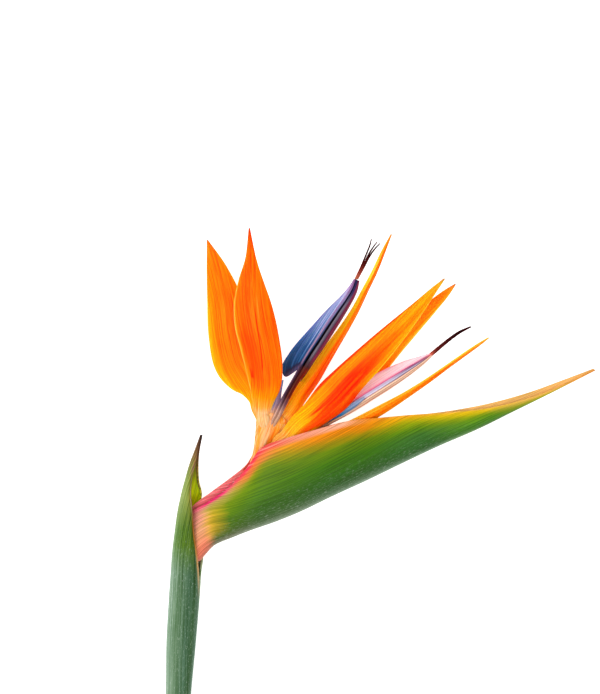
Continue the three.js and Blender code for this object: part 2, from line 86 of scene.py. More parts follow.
def tube_mesh(points):
    """The points and faces of a closed tube: rings of points one after another, and a fan on each end
    round the middle of its ring."""
    rings, sides = points.shape[:2]
    i, j = np.meshgrid(np.arange(rings - 1), np.arange(sides), indexing="ij")
    a = (i * sides + j).ravel()
    b = (i * sides + (j + 1) % sides).ravel()
    walls = np.stack([a, b, b + sides, a + sides], 1)
    ends = np.stack([points[0].mean(0), points[-1].mean(0)])
    k = np.arange(sides)
    first = np.stack([(k + 1) % sides, k, np.full(sides, rings * sides)], 1)
    last = np.stack([k, (k + 1) % sides, np.full(sides, rings * sides + 1)], 1)
    last[:, :2] += (rings - 1) * sides
    return np.vstack([points.reshape(-1, 3), ends]), walls.tolist() + first.tolist() + last.tolist()


def make(name, points, faces, place, grain):
    """A piece with its two attributes: place, the fractions along and across it and its face, and grain,
    the millimetres along and across it. Its faces are turned outwards by the sign of its volume."""
    corners = np.array([face[:3] for face in faces])
    tail = np.array([[face[0], face[2], face[-1]] for face in faces])
    volume = 0.0
    for three in (corners, tail):
        a, b, c = points[three[:, 0]], points[three[:, 1]], points[three[:, 2]]
        volume += np.einsum("ij,ij->i", a, np.cross(b, c)).sum()
    if volume < 0:
        faces = [face[::-1] for face in faces]
    mesh = bpy.data.meshes.new(name)
    mesh.from_pydata((points * MM).tolist(), [], faces)
    for title, values in (("place", place), ("grain", grain)):
        layer = mesh.attributes.new(title, "FLOAT_VECTOR", "POINT")
        layer.data.foreach_set("vector", values.astype(np.float32).ravel())
    mesh.shade_smooth()
    piece = bpy.data.objects.new(name, mesh)
    bpy.context.scene.collection.objects.link(piece)
    return piece


def tube(name, rows, sides, steps, rib=0.0, ribs=0, dome=0.0):
    """A tube along a path of rows x, y, z, half width and, where it differs, half depth: at the angle a,
    its radius is the ellipse's plus rib times the cosine of ribs times a. Its far end bulges out by the
    dome, as a quarter of an ellipse."""
    u = np.linspace(0, 1, steps + 1)
    row = rows_at(rows, u)
    width = row[:, 3]
    depth = row[:, 4] if row.shape[1] > 4 else width
    ahead, side, up = headings(rows, u, 0)
    angle = np.linspace(0, 2 * np.pi, sides, endpoint=False)
    swell = 1 + rib * np.cos(ribs * angle)[None, :, None] / np.maximum(width, 1)[:, None, None]
    across = np.cos(angle)[None, :, None] * side[:, None] * width[:, None, None]
    over = np.sin(angle)[None, :, None] * up[:, None] * depth[:, None, None]
    points = row[:, None, :3] + (across + over) * swell
    length = np.concatenate([[0], np.linalg.norm(np.diff(row[:, :3], axis=0), axis=1).cumsum()])
    if dome:
        turn = np.radians([15, 30, 45, 60, 75])
        middle = row[-1, :3]
        inwards = (points[-1] - middle) * np.cos(turn)[:, None, None]
        points = np.concatenate([points, middle + inwards + ahead[-1] * dome * np.sin(turn)[:, None, None]])
        u, width, depth, length = (np.concatenate([values, np.full(len(turn), values[-1])])
                                   for values in (u, width, depth, length))
    uu = np.broadcast_to(u[:, None], points.shape[:2])
    run = np.broadcast_to(length[:, None], points.shape[:2])
    cos = np.broadcast_to(np.cos(angle), points.shape[:2])
    sin = np.broadcast_to(np.sin(angle), points.shape[:2])
    place = np.stack([uu, 0.5 + 0.5 * cos, 0.5 + 0.5 * sin], -1).reshape(-1, 3)
    grain = np.stack([run, cos * width[:, None], sin * depth[:, None]], -1).reshape(-1, 3)
    ends = np.array([[0, 0.5, 0.5], [1, 0.5, 0.5]])
    run_ends = np.array([[0.0, 0, 0], [length[-1], 0, 0]])
    return make(name, *tube_mesh(points), np.vstack([place, ends]), np.vstack([grain, run_ends]))


def linear(shade):
    """An sRGB hex colour as linear light, with alpha 1: c / 12.92, or ((c + 0.055) / 1.055) to the power
    2.4 above 0.04045."""
    c = np.array([int(shade[k:k + 2], 16) for k in (1, 3, 5)]) / 255
    return (*np.where(c > 0.04045, ((c + 0.055) / 1.055) ** 2.4, c / 12.92), 1.0)


def add(tree, kind, sockets, stops=(), **options):
    """Adds a shader node. Options are its own settings, and sockets its inputs by name or number, each a
    value or the output of another node. Stops are a ramp's places, each with a colour or a strength."""
    made = tree.nodes.new("ShaderNode" + kind)
    for option, value in options.items():
        setattr(made, option, value)
    for socket, value in sockets.items():
        if isinstance(value, bpy.types.NodeSocket):
            tree.links.new(value, made.inputs[socket])
        else:
            made.inputs[socket].default_value = value
    if stops:
        ramp = made.color_ramp
        ramp.elements[0].position = stops[0][0]
        ramp.elements[-1].position = stops[-1][0]
        for place, _ in stops[1:-1]:
            ramp.elements.new(place)
        for element, (_, shade) in zip(ramp.elements, stops):
            element.color = linear(shade) if isinstance(shade, str) else (shade, shade, shade, 1.0)
    return made.outputs[2] if kind == "Mix" else made.outputs[0]


def coat(shade, along=(), across=(), **marks):
    """A layer of colour. Its shade is one colour, or stops by its place along the piece, or by="across"
    it. It covers what its stops along and across allow, and the streaks shift these places by its
    waver. A slant, a slope and a level, shifts the place across by the slope times the way along past
    the level. It may lie on the inside only, or in specks, streaks or lines, which come in where their
    noise passes from the first of two values to the second."""
    return {"shade": shade, "along": along, "across": across, **marks}


def paint(name, layers, ink, gauge=0.5, roughness=0.5, bump=0.3, shine=0.1, glow=0.0):
    """A new material for living tissue, from layers of colour over each other. Last, the fine lines,
    gauge millimetres apart, tint the colour with the ink and raise the skin. The glow is how much of the
    light spreads, by about a millimetre, inside the tissue."""
    material = bpy.data.materials.new(name)
    material.use_nodes = True
    tree = material.node_tree
    shader = tree.nodes["Principled BSDF"]
    shader.inputs["Roughness"].default_value = roughness
    shader.inputs["Specular IOR Level"].default_value = shine
    shader.inputs["Subsurface Weight"].default_value = glow
    shader.inputs["Subsurface Scale"].default_value = MM
    shader.inputs["Subsurface Radius"].default_value = (1.0, 1.0, 1.0)
    place = tree.nodes.new("ShaderNodeAttribute")
    place.attribute_name = "place"
    grain = tree.nodes.new("ShaderNodeAttribute")
    grain.attribute_name = "grain"
    axes = tree.nodes.new("ShaderNodeSeparateXYZ")
    tree.links.new(place.outputs["Vector"], axes.inputs[0])
    along, across, face = axes.outputs
    # Three noises, each drawn out along the grain: broad streaks and fine lines 33 to 40 mm long, and
    # specks of half a millimetre by 2 mm.
    noises = []
    for stretch, apart, detail, rough in ((0.025, 2.6 * gauge, 4.0, 0.6), (0.03, gauge, 3.0, 0.6),
                                          (0.5, 1 / 2.2, 6.0, 0.75)):
        drawn = add(tree, "Mapping", {"Vector": grain.outputs["Vector"],
                                      "Scale": (stretch, 1 / apart, 1 / apart)})
        noises.append(add(tree, "TexNoise",
                          {"Vector": drawn, "Scale": 1.0, "Detail": detail, "Roughness": rough}))
    streaks, lines, specks = noises
    colour = None
    for layer in layers:
        waver = layer.get("waver", 0.0)
        shift = add(tree, "Math", {0: streaks, 1: waver, 2: -0.5 * waver}, operation="MULTIPLY_ADD")
        run = add(tree, "Math", {0: along, 1: shift}, operation="ADD")
        over = add(tree, "Math", {0: across, 1: shift}, operation="ADD")
        if "slant" in layer:
            slope, level = layer["slant"]
            tilt = add(tree, "Math", {0: along, 1: slope, 2: -slope * level}, operation="MULTIPLY_ADD")
            over = add(tree, "Math", {0: over, 1: tilt}, operation="ADD")
        shade = layer["shade"]
        if isinstance(shade, str):
            shade = linear(shade)
        else:
            shade = add(tree, "ValToRGB", {0: over if layer.get("by") == "across" else run}, shade)
        covers = [add(tree, "ValToRGB", {0: at}, layer[key])
                  for key, at in (("along", run), ("across", over)) if layer[key]]
        if layer.get("inside"):
            covers.append(face)
        for key, noise in (("specks", specks), ("streaks", streaks), ("lines", lines)):
            if key in layer:
                covers.append(add(tree, "MapRange", {0: noise, 1: layer[key][0], 2: layer[key][1]}))
        cover = covers[0] if covers else 1.0
        for other in covers[1:]:
            cover = add(tree, "Math", {0: cover, 1: other}, operation="MULTIPLY")
        if colour is None:
            colour = shade
        else:
            colour = add(tree, "Mix", {0: cover, 6: colour, 7: shade}, data_type="RGBA")
    inked = add(tree, "MapRange", {0: lines, 1: 0.58, 2: 0.4})
    colour = add(tree, "Mix", {0: inked, 6: colour, 7: linear(ink)},
                 data_type="RGBA", blend_type="MULTIPLY")
    tree.links.new(colour, shader.inputs["Base Color"])
    raised = add(tree, "Bump", {"Height": lines, "Strength": bump, "Distance": 0.3 * MM})
    tree.links.new(raised, shader.inputs["Normal"])
    return material


def dress(piece, node, material):
    """Gives a piece its material and puts it on the root body, in its CAD node's place, hiding that node.
    """
    piece.data.materials.append(material)
    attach(piece, "root")
    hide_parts(node)


# Green stalk under a grey wax bloom: matte, with specks of wax.
stalk = paint("waxy_green_stalk", [
    # paler on its left side and darker just right of the middle: partly the wax bloom, partly painted light
    # and shade
    coat([(0, "#97ae9f"), (0.3, "#748f76"), (0.55, "#5a7a60"), (0.72, "#466b48"), (0.9, "#55755a"),
          (1, "#8aa58e")], by="across", waver=0.25),
    coat("#b9c9bb", specks=(0.6, 0.75)),
], "#b0c4b0", gauge=0.5, roughness=0.6)
stem = tube("cut_stem", STEM, sides=64, steps=240, rib=0.05, ribs=22)
dress(stem, "stem", stalk)


# The sheath
# A leathery bract rolled round the stalk. Its margins meet along the right side and part at the top,
# where the long bract grows out, and it ends in a dry brown point.

SHEATH = [
    [-86.5, -106.5, 5.9, -97.0, -106.5, 5.5, -86.5, -106.5, 5.2, 5.2],
    [-85.7, -100.0, 6.1, -97.0, -100.0, 5.8, -85.7, -100.0, 5.4, 5.7],
    [-84.5, -82.0, 6.3, -96.0, -82.0, 6.0, -84.5, -82.0, 5.6, 5.8],
    [-83.2, -59.5, 6.5, -94.7, -59.5, 6.1, -83.2, -59.5, 5.8, 5.9],
    [-81.1, -37.0, 6.8, -94.4, -37.0, 6.3, -81.1, -37.0, 6.1, 6.3],
    [-79.5, -17.0, 7.6, -93.3, -17.0, 6.6, -79.4, -16.5, 5.8, 6.6],
    [-79.4, -6.5, 9.4, -92.5, -5.5, 6.8, -78.7, -5.2, 4.3, 6.7],
    [-80.2, 4.5, 12.4, -91.8, 4.5, 6.9, -77.9, 3.5, 2.2, 5.6],
    [-81.6, 15.0, 13.4, -90.7, 13.5, 7.0, -80.6, 13.5, 1.2, 4.4],
    [-82.1, 23.5, 12.8, -89.4, 23.0, 7.0, -79.4, 24.5, 1.8, 3.6],
    [-82.9, 31.0, 11.6, -87.6, 31.5, 7.1, -78.4, 31.0, 3.2, 3.0],
    [-82.6, 38.0, 10.4, -85.8, 38.3, 7.3, -79.6, 36.8, 4.4, 2.4],
    [-81.2, 44.5, 9.5, -83.9, 44.8, 7.6, -79.8, 43.8, 5.8, 1.6],
    [-80.0, 50.8, 8.9, -81.6, 50.9, 8.0, -79.3, 50.2, 7.0, 1.0],
    [-78.2, 57.7, 8.6, -79.0, 57.9, 8.3, -77.9, 57.7, 7.9, 0.5],
]


def sheet_faces(rows, columns):
    """The faces of a closed sheet: a front grid, a back grid turned the other way, and the rim between."""
    i, j = np.meshgrid(np.arange(rows - 1), np.arange(columns - 1), indexing="ij")
    a = (i * columns + j).ravel()
    front = np.stack([a, a + 1, a + columns + 1, a + columns], 1)
    back = front[:, ::-1] + rows * columns
    down, along = np.arange(rows - 1), np.arange(columns - 1)
    rim = np.concatenate([along, down * columns + columns - 1, rows * columns - 1 - along,
                          (rows - 1 - down) * columns])
    after = np.roll(rim, -1)
    edge = np.stack([after, rim, rim + rows * columns, after + rows * columns], 1)
    return np.concatenate([front, back, edge]).tolist()


def sheet(name, front, back, u, v):
    """A closed piece from its two faces, grids of points over the fractions u along and v across it."""
    along = np.linalg.norm(np.diff(front, axis=0), axis=-1).mean(1)
    across = np.linalg.norm(np.diff(front, axis=1), axis=-1)
    run = np.broadcast_to(np.concatenate([[0], along.cumsum()])[:, None], front.shape[:2])
    reach = np.concatenate([np.zeros((len(u), 1)), across.cumsum(1)], 1)
    reach = reach - reach[:, [len(v) // 2]]
    uu, vv = np.meshgrid(u, v, indexing="ij")
    place = [np.stack([uu, vv, np.full(uu.shape, face)], -1).reshape(-1, 3) for face in (0.0, 1.0)]
    grain = np.stack([run, reach, np.zeros(uu.shape)], -1).reshape(-1, 3)
    points = np.vstack([front.reshape(-1, 3), back.reshape(-1, 3)])
    return make(name, points, sheet_faces(*front.shape[:2]), np.vstack(place), np.vstack([grain, grain]))


def bract_face(rows, u, v, keel, bulge, wall):
    """One face of a folded bract, set in from its outer face by the wall. Its rows hold x, y and z of
    the near margin, of the keel and of the far margin, and the half depth. With s the fraction of the
    way from the keel to a margin, a point lies s to the power keel of that way (or on a half circle
    where keel is 0) and swells out by the half depth times the sine of pi times s to the power bulge."""
    row = rows_at(rows, u)
    near, spine, far, depth = row[:, None, 0:3], row[:, None, 3:6], row[:, None, 6:9], row[:, 9:10]
    inward = unit((near + far) / 2 - spine) * wall[:, :, None]
    margin_shift = np.array([0, 0, 0.5]) * wall[:, :, None] if keel else inward
    side = np.where(v < 0, 1, -1)[None, :, None]
    margin = np.where(side > 0, near - margin_shift, far + margin_shift * (1 if keel else -1))
    s = np.abs(v)[None, :]
    share = s**keel if keel else (1 - np.cos(np.pi * s)) / 2
    points = spine + inward + (margin - spine - inward) * share[..., None]
    points[..., 2] += side[..., 0] * np.sin(np.pi * s**bulge) * (depth - wall)
    return points


def bract(name, rows, wall, keel, bulge, steps, across, ribs, rib, solid=((0, 0), (1, 0))):
    """A folded bract from its two faces, whose points lie closer together towards the margins. Ribs run
    along its outer face, rib millimetres high. It lies flat where it would sink into the surface. It is
    hollow where solid, stops of a place along it and a share, is 0, and where that is 1 it is filled up
    to the brim, just below the middle between its margins. Its wall thins where it closes."""
    thinning = 0.55  # the wall's largest share of the half depth
    brim_gap, sunk = 0.4, 14.0  # from the middle down to the brim, and further where it is hollow
    u = np.linspace(0, 1, steps + 1)
    v = np.linspace(-1, 1, 2 * across + 1)
    v = np.sign(v) * (1 - (1 - np.abs(v)) ** 1.15)
    depth = rows_at(rows, u)[:, 9:10]
    thick = np.minimum(wall, thinning * depth)
    outer = bract_face(rows, u, v, keel, bulge, 0 * thick)
    inner = bract_face(rows, u, v, keel, bulge, thick)
    outward = unit(outer - inner)
    fade = np.minimum(1, 8 * (1 - np.abs(v)))[None, :] * np.minimum(1, depth / 3)
    outer -= outward * (rib * (1 - np.cos(ribs * np.pi * v[None, :])) * fade)[..., None]
    outer[..., 2] = np.maximum(outer[..., 2], 0)
    brim = rows_at(rows, u)[:, (2, 8)].mean(1) - brim_gap - sunk * (1 - np.interp(u, *np.transpose(solid)))
    inner[..., 2] = np.maximum(inner[..., 2], np.maximum(thick, brim[:, None]))
    return sheet(name, outer, inner, u, (v + 1) / 2)


def band(start, full, fading, end, level=1, later=None):
    """Stops that let a layer in from start to full and out from fading to end. Its strength is the
    level, or goes from that to a later one."""
    return [(start, 0), (full, level), (fading, level if later is None else later), (end, 0)]


sheath = bract("sheathing_bract", SHEATH, wall=1.0, keel=0, bulge=1.0, steps=300, across=44,
               ribs=26, rib=0.04)

# Leathery green bract: matte, greyish green with wax below, yellow green above, with a tawny margin
# and a dry brown point.
leather = paint("waxy_green_sheath", [
    # runs from margin to margin: on the lower part, the middle and the upper part
    # the lower two are pale along the rolled left side and darkest just right of the middle: partly wax
    # bloom, partly painted light and shade
    coat([(0, "#7b9b86"), (0.05, "#5d7d68"), (0.12, "#3c6038"), (0.2, "#52735a"), (0.3, "#6a8769"),
          (0.4, "#86a08a"), (0.5, "#9ab2a3"), (0.62, "#6f8f78"), (0.8, "#4a6b4a"), (1, "#5d7d60")],
         by="across", waver=0.06),
    coat([(0, "#b07a20"), (0.03, "#6c6406"), (0.08, "#4a6004"), (0.17, "#5a7820"), (0.28, "#58791c"),
          (0.4, "#6c8f48"), (0.5, "#93ab84"), (0.7, "#6a8a3a"), (1, "#7a8c20")], [(0.44, 0), (0.53, 1)],
         by="across", waver=0.06),
    coat([(0, "#dfb080"), (0.03, "#a8842c"), (0.1, "#86801c"), (0.22, "#95a04c"), (0.36, "#a0ae62"),
          (0.5, "#acba7c"), (0.7, "#b8b420"), (1, "#cdb60c")], [(0.58, 0), (0.7, 1)], by="across",
         waver=0.05),
    # the inner face, its yellow green painted brighter than its own as painted light into the shade of the
    # roll, and its mauve edge
    coat([(0.72, "#ecff00"), (0.8, "#c8d008"), (0.9, "#9a8a14")], [(0.45, 0), (0.6, 1)], inside=True),
    coat("#6c2c50", [(0.7, 0), (0.75, 1)], [(0.93, 0), (0.97, 0.9), (1, 1)], inside=True, waver=0.05),
    # the margins: pale and maroon lines above, a pale far edge, and an orange line below
    coat("#efd0a8", band(0.6, 0.68, 0.9, 0.95, 1, 0.6), band(0.03, 0.05, 0.07, 0.1, 0.8), waver=0.02),
    coat("#5a2638", [(0.62, 0), (0.68, 1)], [(0, 1), (0.035, 1), (0.06, 0)], waver=0.02),
    coat("#8c6478", [(0.76, 0), (0.84, 0.9), (0.94, 0.6)], band(0.06, 0.1, 0.18, 0.24, 0.8, 0.6),
         streaks=(0.46, 0.56)),
    coat("#bcd0a4", band(0.3, 0.36, 0.56, 0.62, 1, 0.9), [(0.8, 0), (0.84, 0.9), (1, 1)]),
    coat([(0.4, "#f2b878"), (0.5, "#f0a04c"), (0.58, "#e08838"), (0.66, "#9a5a34")],
         band(0.36, 0.46, 0.6, 0.66), [(0, 1), (0.05, 0.9), (0.08, 0)], waver=0.01),
    # streaks and specks of wax, and dark green between them
    coat("#ccdacc", [(0.1, 0.4), (0.3, 0.9), (0.5, 0.7), (0.6, 0)], band(0.28, 0.4, 0.54, 0.62, 0.9, 0.8),
         streaks=(0.54, 0.64)),
    coat("#24480c", band(0.34, 0.43, 0.62, 0.72, 0.9, 0.8), band(0.05, 0.1, 0.26, 0.4, 0.9),
         streaks=(0.44, 0.4)),
    coat("#c4d2c6", [(0.45, 0.9), (0.62, 0.2)], specks=(0.56, 0.68)),
    # the dry point
    coat([(0.8, "#9a7a34"), (0.9, "#a86c4a"), (0.96, "#6a3a28"), (1, "#2a1410")],
         [(0.78, 0), (0.9, 0.85), (1, 1)], waver=0.1),
], "#a8c09c", gauge=0.45, roughness=0.55)
dress(sheath, "sheath", leather)


# The long bract
# A stiff waxy bract, folded along its keel like a boat, that the florets rise out of. It is green,
# with fine ribs, a grey bloom along the keel, and margins that run from pink through orange to yellow.

SPATHE = [
    [-86.9, 7.6, 8.8, -80.2, 0.4, 7.1, -86.9, 8.0, 5.6, 4.1],
    [-85.9, 14.8, 8.9, -78.6, 1.4, 7.2, -85.9, 15.8, 6.0, 4.3],
    [-83.0, 22.8, 9.2, -76.5, 3.9, 7.5, -82.6, 25.2, 6.6, 4.7],
    [-75.5, 27.6, 10.0, -72.2, 8.2, 8.0, -74.4, 31.8, 7.3, 6.2],
    [-66.4, 33.9, 11.0, -64.6, 11.5, 8.8, -65.2, 38.6, 7.5, 8.4],
    [-58.4, 42.6, 13.4, -56.0, 14.9, 9.3, -58.4, 44.2, 6.3, 9.6],
    [-51.2, 52.3, 15.4, -44.8, 18.8, 9.6, -53.0, 51.6, 4.9, 10.0],
    [-40.7, 56.4, 16.4, -33.1, 23.6, 9.7, -41.7, 55.8, 3.8, 10.0],
    [-26.4, 60.6, 16.4, -19.2, 30.3, 9.3, -26.8, 60.3, 3.8, 9.6],
    [-11.6, 64.4, 14.2, -3.8, 37.3, 8.5, -11.6, 64.0, 4.0, 8.7],
    [3.0, 65.7, 10.4, 12.5, 45.1, 7.3, 3.0, 65.3, 4.6, 7.4],
    [17.0, 66.9, 8.0, 29.0, 52.8, 6.4, 17.0, 66.6, 5.2, 5.8],
    [33.7, 68.0, 7.3, 46.4, 60.3, 6.2, 33.8, 68.6, 5.2, 4.0],
    [52.7, 70.2, 7.2, 62.8, 68.4, 6.3, 51.8, 72.0, 5.2, 2.6],
    [69.8, 74.6, 7.3, 78.0, 75.9, 6.6, 69.0, 76.8, 5.8, 1.6],
    [85.4, 80.6, 7.7, 87.8, 80.9, 7.1, 84.4, 82.4, 6.5, 1.2],
    [98.5, 87.0, 8.0, 99.5, 86.9, 7.6, 98.3, 87.7, 7.2, 0.7],
]

spathe = bract("boat_bract", SPATHE, wall=1.0, keel=1.55, bulge=0.86, steps=400, across=60,
               ribs=40, rib=0.05, solid=((0, 1), (0.3, 1), (0.4, 0), (0.62, 0), (0.7, 1), (1, 1)))

# Waxy green bract: satin, ribbed along its length. The first layers are runs of colours from one
# margin over the keel to the other, set one after another along it: coral and cream at the foot, then
# greens between yellow margins, and yellow to the tip. The others are the pink margins, the yellow
# and pink at the foot, the flushed inner face, painted lighter as painted light into its shade, and the
# keel's grey bloom.
shell = paint("waxy_boat_bract", [
    coat([(0, "#fd5c86"), (0.02, "#fda09a"), (0.08, "#fec79c"), (0.16, "#fec262"), (0.24, "#fec267"),
          (0.32, "#fd9c72"), (0.4, "#ea7a62"), (0.47, "#d88a72"), (0.52, "#d89a8a"), (0.8, "#e8906a"),
          (1, "#fc5a80")], by="across", waver=0.05),
    coat([(0, "#fc6880"), (0.02, "#dc9a70"), (0.05, "#b4a848"), (0.1, "#7e980a"), (0.18, "#5c8004"),
          (0.27, "#4c6e04"), (0.36, "#52662a"), (0.43, "#6c6c4a"), (0.5, "#8e967c"), (0.7, "#4f7410"),
          (0.95, "#b0a030"), (1, "#f86070")], [(0.115, 0), (0.155, 0.4), (0.2, 1)], by="across",
         waver=0.05),
    coat([(0, "#fc6048"), (0.015, "#fb9030"), (0.035, "#e09a1c"), (0.06, "#9c9806"), (0.105, "#668802"),
          (0.19, "#4c7a06"), (0.28, "#34620c"), (0.36, "#3e6228"), (0.43, "#58704a"), (0.5, "#8a9c84"),
          (0.7, "#427404"), (0.95, "#a09400"), (1, "#fc7050")], [(0.24, 0), (0.34, 1)], by="across",
         waver=0.04),
    coat([(0, "#fd8e24"), (0.025, "#fd8c08"), (0.05, "#f08c02"), (0.08, "#a88a00"), (0.12, "#688402"),
          (0.19, "#427808"), (0.28, "#306410"), (0.36, "#346028"), (0.44, "#547650"), (0.5, "#88a488"),
          (0.7, "#427404"), (0.95, "#a09400"), (1, "#fd8820")], [(0.4, 0), (0.5, 1)], by="across",
         waver=0.04),
    coat([(0, "#fdae30"), (0.025, "#e8b004"), (0.05, "#c0b000"), (0.08, "#92a400"), (0.14, "#5c8c0c"),
          (0.2, "#42782c"), (0.29, "#346c26"), (0.37, "#306224"), (0.44, "#4c784a"), (0.5, "#88a888"),
          (0.7, "#427404"), (0.95, "#a09400"), (1, "#fd9820")], [(0.58, 0), (0.66, 1)], by="across",
         waver=0.05),
    coat([(0, "#f4b850"), (0.03, "#ecc010"), (0.07, "#dcbc00"), (0.13, "#98a402"), (0.2, "#6c980c"),
          (0.3, "#528c1c"), (0.4, "#4c8428"), (0.5, "#86aa68"), (0.7, "#8a9c04"), (1, "#f4b850")],
         [(0.68, 0), (0.76, 1)], by="across", waver=0.06),
    coat([(0, "#f6c058"), (0.12, "#efb458"), (0.25, "#d4b430"), (0.38, "#a8ac14"), (0.46, "#94ac1c"),
          (0.52, "#a8b83c"), (0.7, "#c8b020"), (1, "#f6c058")], [(0.79, 0), (0.87, 1)], by="across",
         waver=0.07),
    coat([(0.8, "#f2b848"), (0.93, "#f0b444"), (0.97, "#f29c36"), (1, "#f08a28")],
         [(0.88, 0), (0.94, 0.85), (1, 1)], waver=0.05),
    # the foot: its magenta margin, a yellow flush and a pink one
    coat("#fc1c78", [(0, 1), (0.22, 0.9), (0.3, 0)], [(0, 1), (0.012, 1), (0.026, 0)], waver=0.006),
    coat("#fdb830", band(0.145, 0.17, 0.19, 0.25, 0.8, 0.6), band(0.03, 0.1, 0.24, 0.36, 0.9, 0.8),
         waver=0.06),
    coat([(0, "#fd7a90"), (0.16, "#fda88c"), (0.3, "#fc846c"), (0.5, "#d8705c")],
         [(0.13, 0.8), (0.15, 0.7), (0.185, 0)], by="across", waver=0.05),
    # the margin further on: an orange flush under a line that goes from pink to yellow
    coat("#fb6444", band(0.27, 0.32, 0.38, 0.43, 0.8, 0.7), [(0.02, 0.9), (0.05, 0.8), (0.075, 0)],
         waver=0.04),
    coat([(0.28, "#f9305c"), (0.36, "#f93c4c"), (0.41, "#fb5c54"), (0.46, "#fc9480"), (0.54, "#ffb8a0"),
          (0.6, "#ffb468")], band(0.25, 0.31, 0.55, 0.6, 1, 0.8), [(0, 1), (0.016, 1), (0.032, 0)],
         waver=0.016),
    coat("#ffc0b0", band(0.3, 0.34, 0.5, 0.6, 0.8), [(0, 0.8), (0.02, 0.6), (0.03, 0)],
         streaks=(0.52, 0.6)),
    # the inner face, flushed pink at the foot, painted lighter than its own colour as painted light into
    # the shade of the trough
    coat([(0, "#ff8a90"), (0.24, "#ff6e76"), (0.34, "#ff6c68"), (0.45, "#ffa080")],
         [(0, 1), (0.4, 1), (0.5, 0)], inside=True),
    coat("#fb2a64", [(0, 1), (0.3, 0.9), (0.4, 0)], [(0, 0), (0.9, 0), (0.95, 0.8), (0.985, 0)],
         inside=True, waver=0.04),
    coat("#ffc070", [(0.4, 0), (0.5, 1)], inside=True),
    # the bloom along the keel, and dark ribs
    coat("#c6cfc0", band(0.14, 0.22, 0.66, 0.8, 0.9, 0.8), [(0.2, 0), (0.3, 0.35), (0.42, 0.7), (0.5, 1)],
         specks=(0.52, 0.68)),
    coat("#44641c", band(0.2, 0.3, 0.75, 0.9, 1, 0.8), [(0.06, 0), (0.14, 0.4), (0.5, 0.4)],
         lines=(0.52, 0.36)),
], "#ccd4bc", gauge=0.42, roughness=0.45)
dress(spathe, "spathe", shell)


# The florets' tubes
# Fleshy peach-coloured tubes, thin at the ovary inside the bract, that spread like a hand where the
# sepals part. Orange veins run up them.

TUBES = {
    "floret_1_base": [
        [-81.1, 9.1, 7.3, 1.4, 1.4],
        [-74.4, 15.2, 7.8, 2.2, 2.2],
        [-66.0, 22.6, 8.8, 2.8, 2.8],
        [-59.4, 31.4, 9.4, 2.9, 2.9],
        [-54.8, 41.0, 9.8, 3.0, 3.0],
        [-52.0, 50.0, 10.0, 3.2, 3.2],
        [-50.2, 56.2, 10.2, 4.3, 3.4],
        [-48.2, 61.4, 10.4, 6.1, 3.0],
        [-46.5, 65.9, 10.3, 7.7, 2.3],
    ],
    "floret_2_base": [
        [-66.4, 15.4, 8.2, 1.2, 1.2],
        [-60.0, 20.6, 8.7, 2.2, 2.2],
        [-52.8, 27.6, 9.2, 2.9, 2.9],
        [-47.6, 36.0, 9.6, 3.2, 3.0],
        [-44.2, 43.6, 9.8, 3.8, 3.0],
        [-41.0, 49.2, 10.0, 4.2, 3.0],
        [-38.0, 53.6, 10.1, 5.2, 2.4],
    ],
}

# Fleshy peach tissue: satin, with orange veins that run up it.
flesh = paint("peach_tube_flesh", [
    # peach flesh, more orange towards the sepals
    coat([(0, "#f9dcae"), (0.3, "#fdc088"), (0.6, "#fec284"), (0.85, "#fdc888"), (1, "#fdd090")]),
    coat([(0.6, "#fd9410"), (0.85, "#fda820"), (1, "#fdbe40")], [(0.4, 0), (0.7, 0.9), (1, 0.8)],
         [(0.6, 0), (0.8, 1), (1, 1)], waver=0.3),
    # veins
    coat("#fda428", [(0.2, 0), (0.4, 1)],
         [(0.1, 0), (0.2, 1), (0.28, 0.8), (0.36, 0), (0.66, 0), (0.78, 0.8), (0.9, 0.9), (1, 0.3)],
         waver=0.3),
    coat("#fba878", across=[(0.4, 0), (0.5, 0.7), (0.62, 0)], waver=0.2),
    # pale and orange specks where the sepals part
    coat("#ffe8bc", [(0.84, 0), (0.92, 0.8), (1, 0.7)], specks=(0.54, 0.62)),
    coat("#f4801c", band(0.84, 0.92, 0.97, 1, 0.6, 0.4), specks=(0.42, 0.36)),
], "#fcbc78", gauge=0.5, roughness=0.45, bump=0.2, shine=0.05, glow=0.4)
for node, rows in TUBES.items():
    flared = tube(node + "_tube", rows, sides=72, steps=160, rib=0.18, ribs=9, dome=2.6)
    dress(flared, node, flesh)


# The closed florets
# Two florets that haven't opened yet, of soft pale tissue, folded up as slim spindles inside the long
# bract.

BUDS = {
    "bud_1": [
        [-58.6, 17.0, 8.7, 0.9],
        [-42.0, 26.4, 9.2, 2.4],
        [-26.0, 35.4, 8.8, 2.9],
        [-9.0, 44.0, 8.2, 2.6],
        [8.0, 51.2, 7.2, 1.8],
        [24.0, 57.2, 6.6, 0.7],
    ],
    "bud_2": [
        [-36.0, 34.8, 8.8, 0.9],
        [-25.0, 43.0, 8.6, 2.2],
        [-12.0, 50.8, 8.2, 2.7],
        [2.0, 56.6, 7.4, 2.2],
        [16.0, 61.2, 6.7, 1.3],
        [27.0, 64.0, 6.5, 0.6],
    ],
}

# Young petal tissue: pale orange, satin, paler at the foot.
young = paint("pale_bud_petal", [
    coat([(0, "#fce8c0"), (0.4, "#fac47c"), (0.8, "#f8a850"), (1, "#f28c34")], waver=0.2),
    coat("#f79a6c", across=[(0.2, 0), (0.4, 0.7), (0.6, 0)], waver=0.3),
], "#f4b878", gauge=0.4, roughness=0.5, bump=0.2)
for node, rows in BUDS.items():
    dress(tube(node + "_closed", rows, sides=48, steps=90, rib=0.15, ribs=6), node, young)


# The sepals
# Long pointed orange sepals, three to a floret, each one smooth blade with fine veins along it. The
# front ones are shallow boats, and the right-hand ones are folded sharply along their keel.

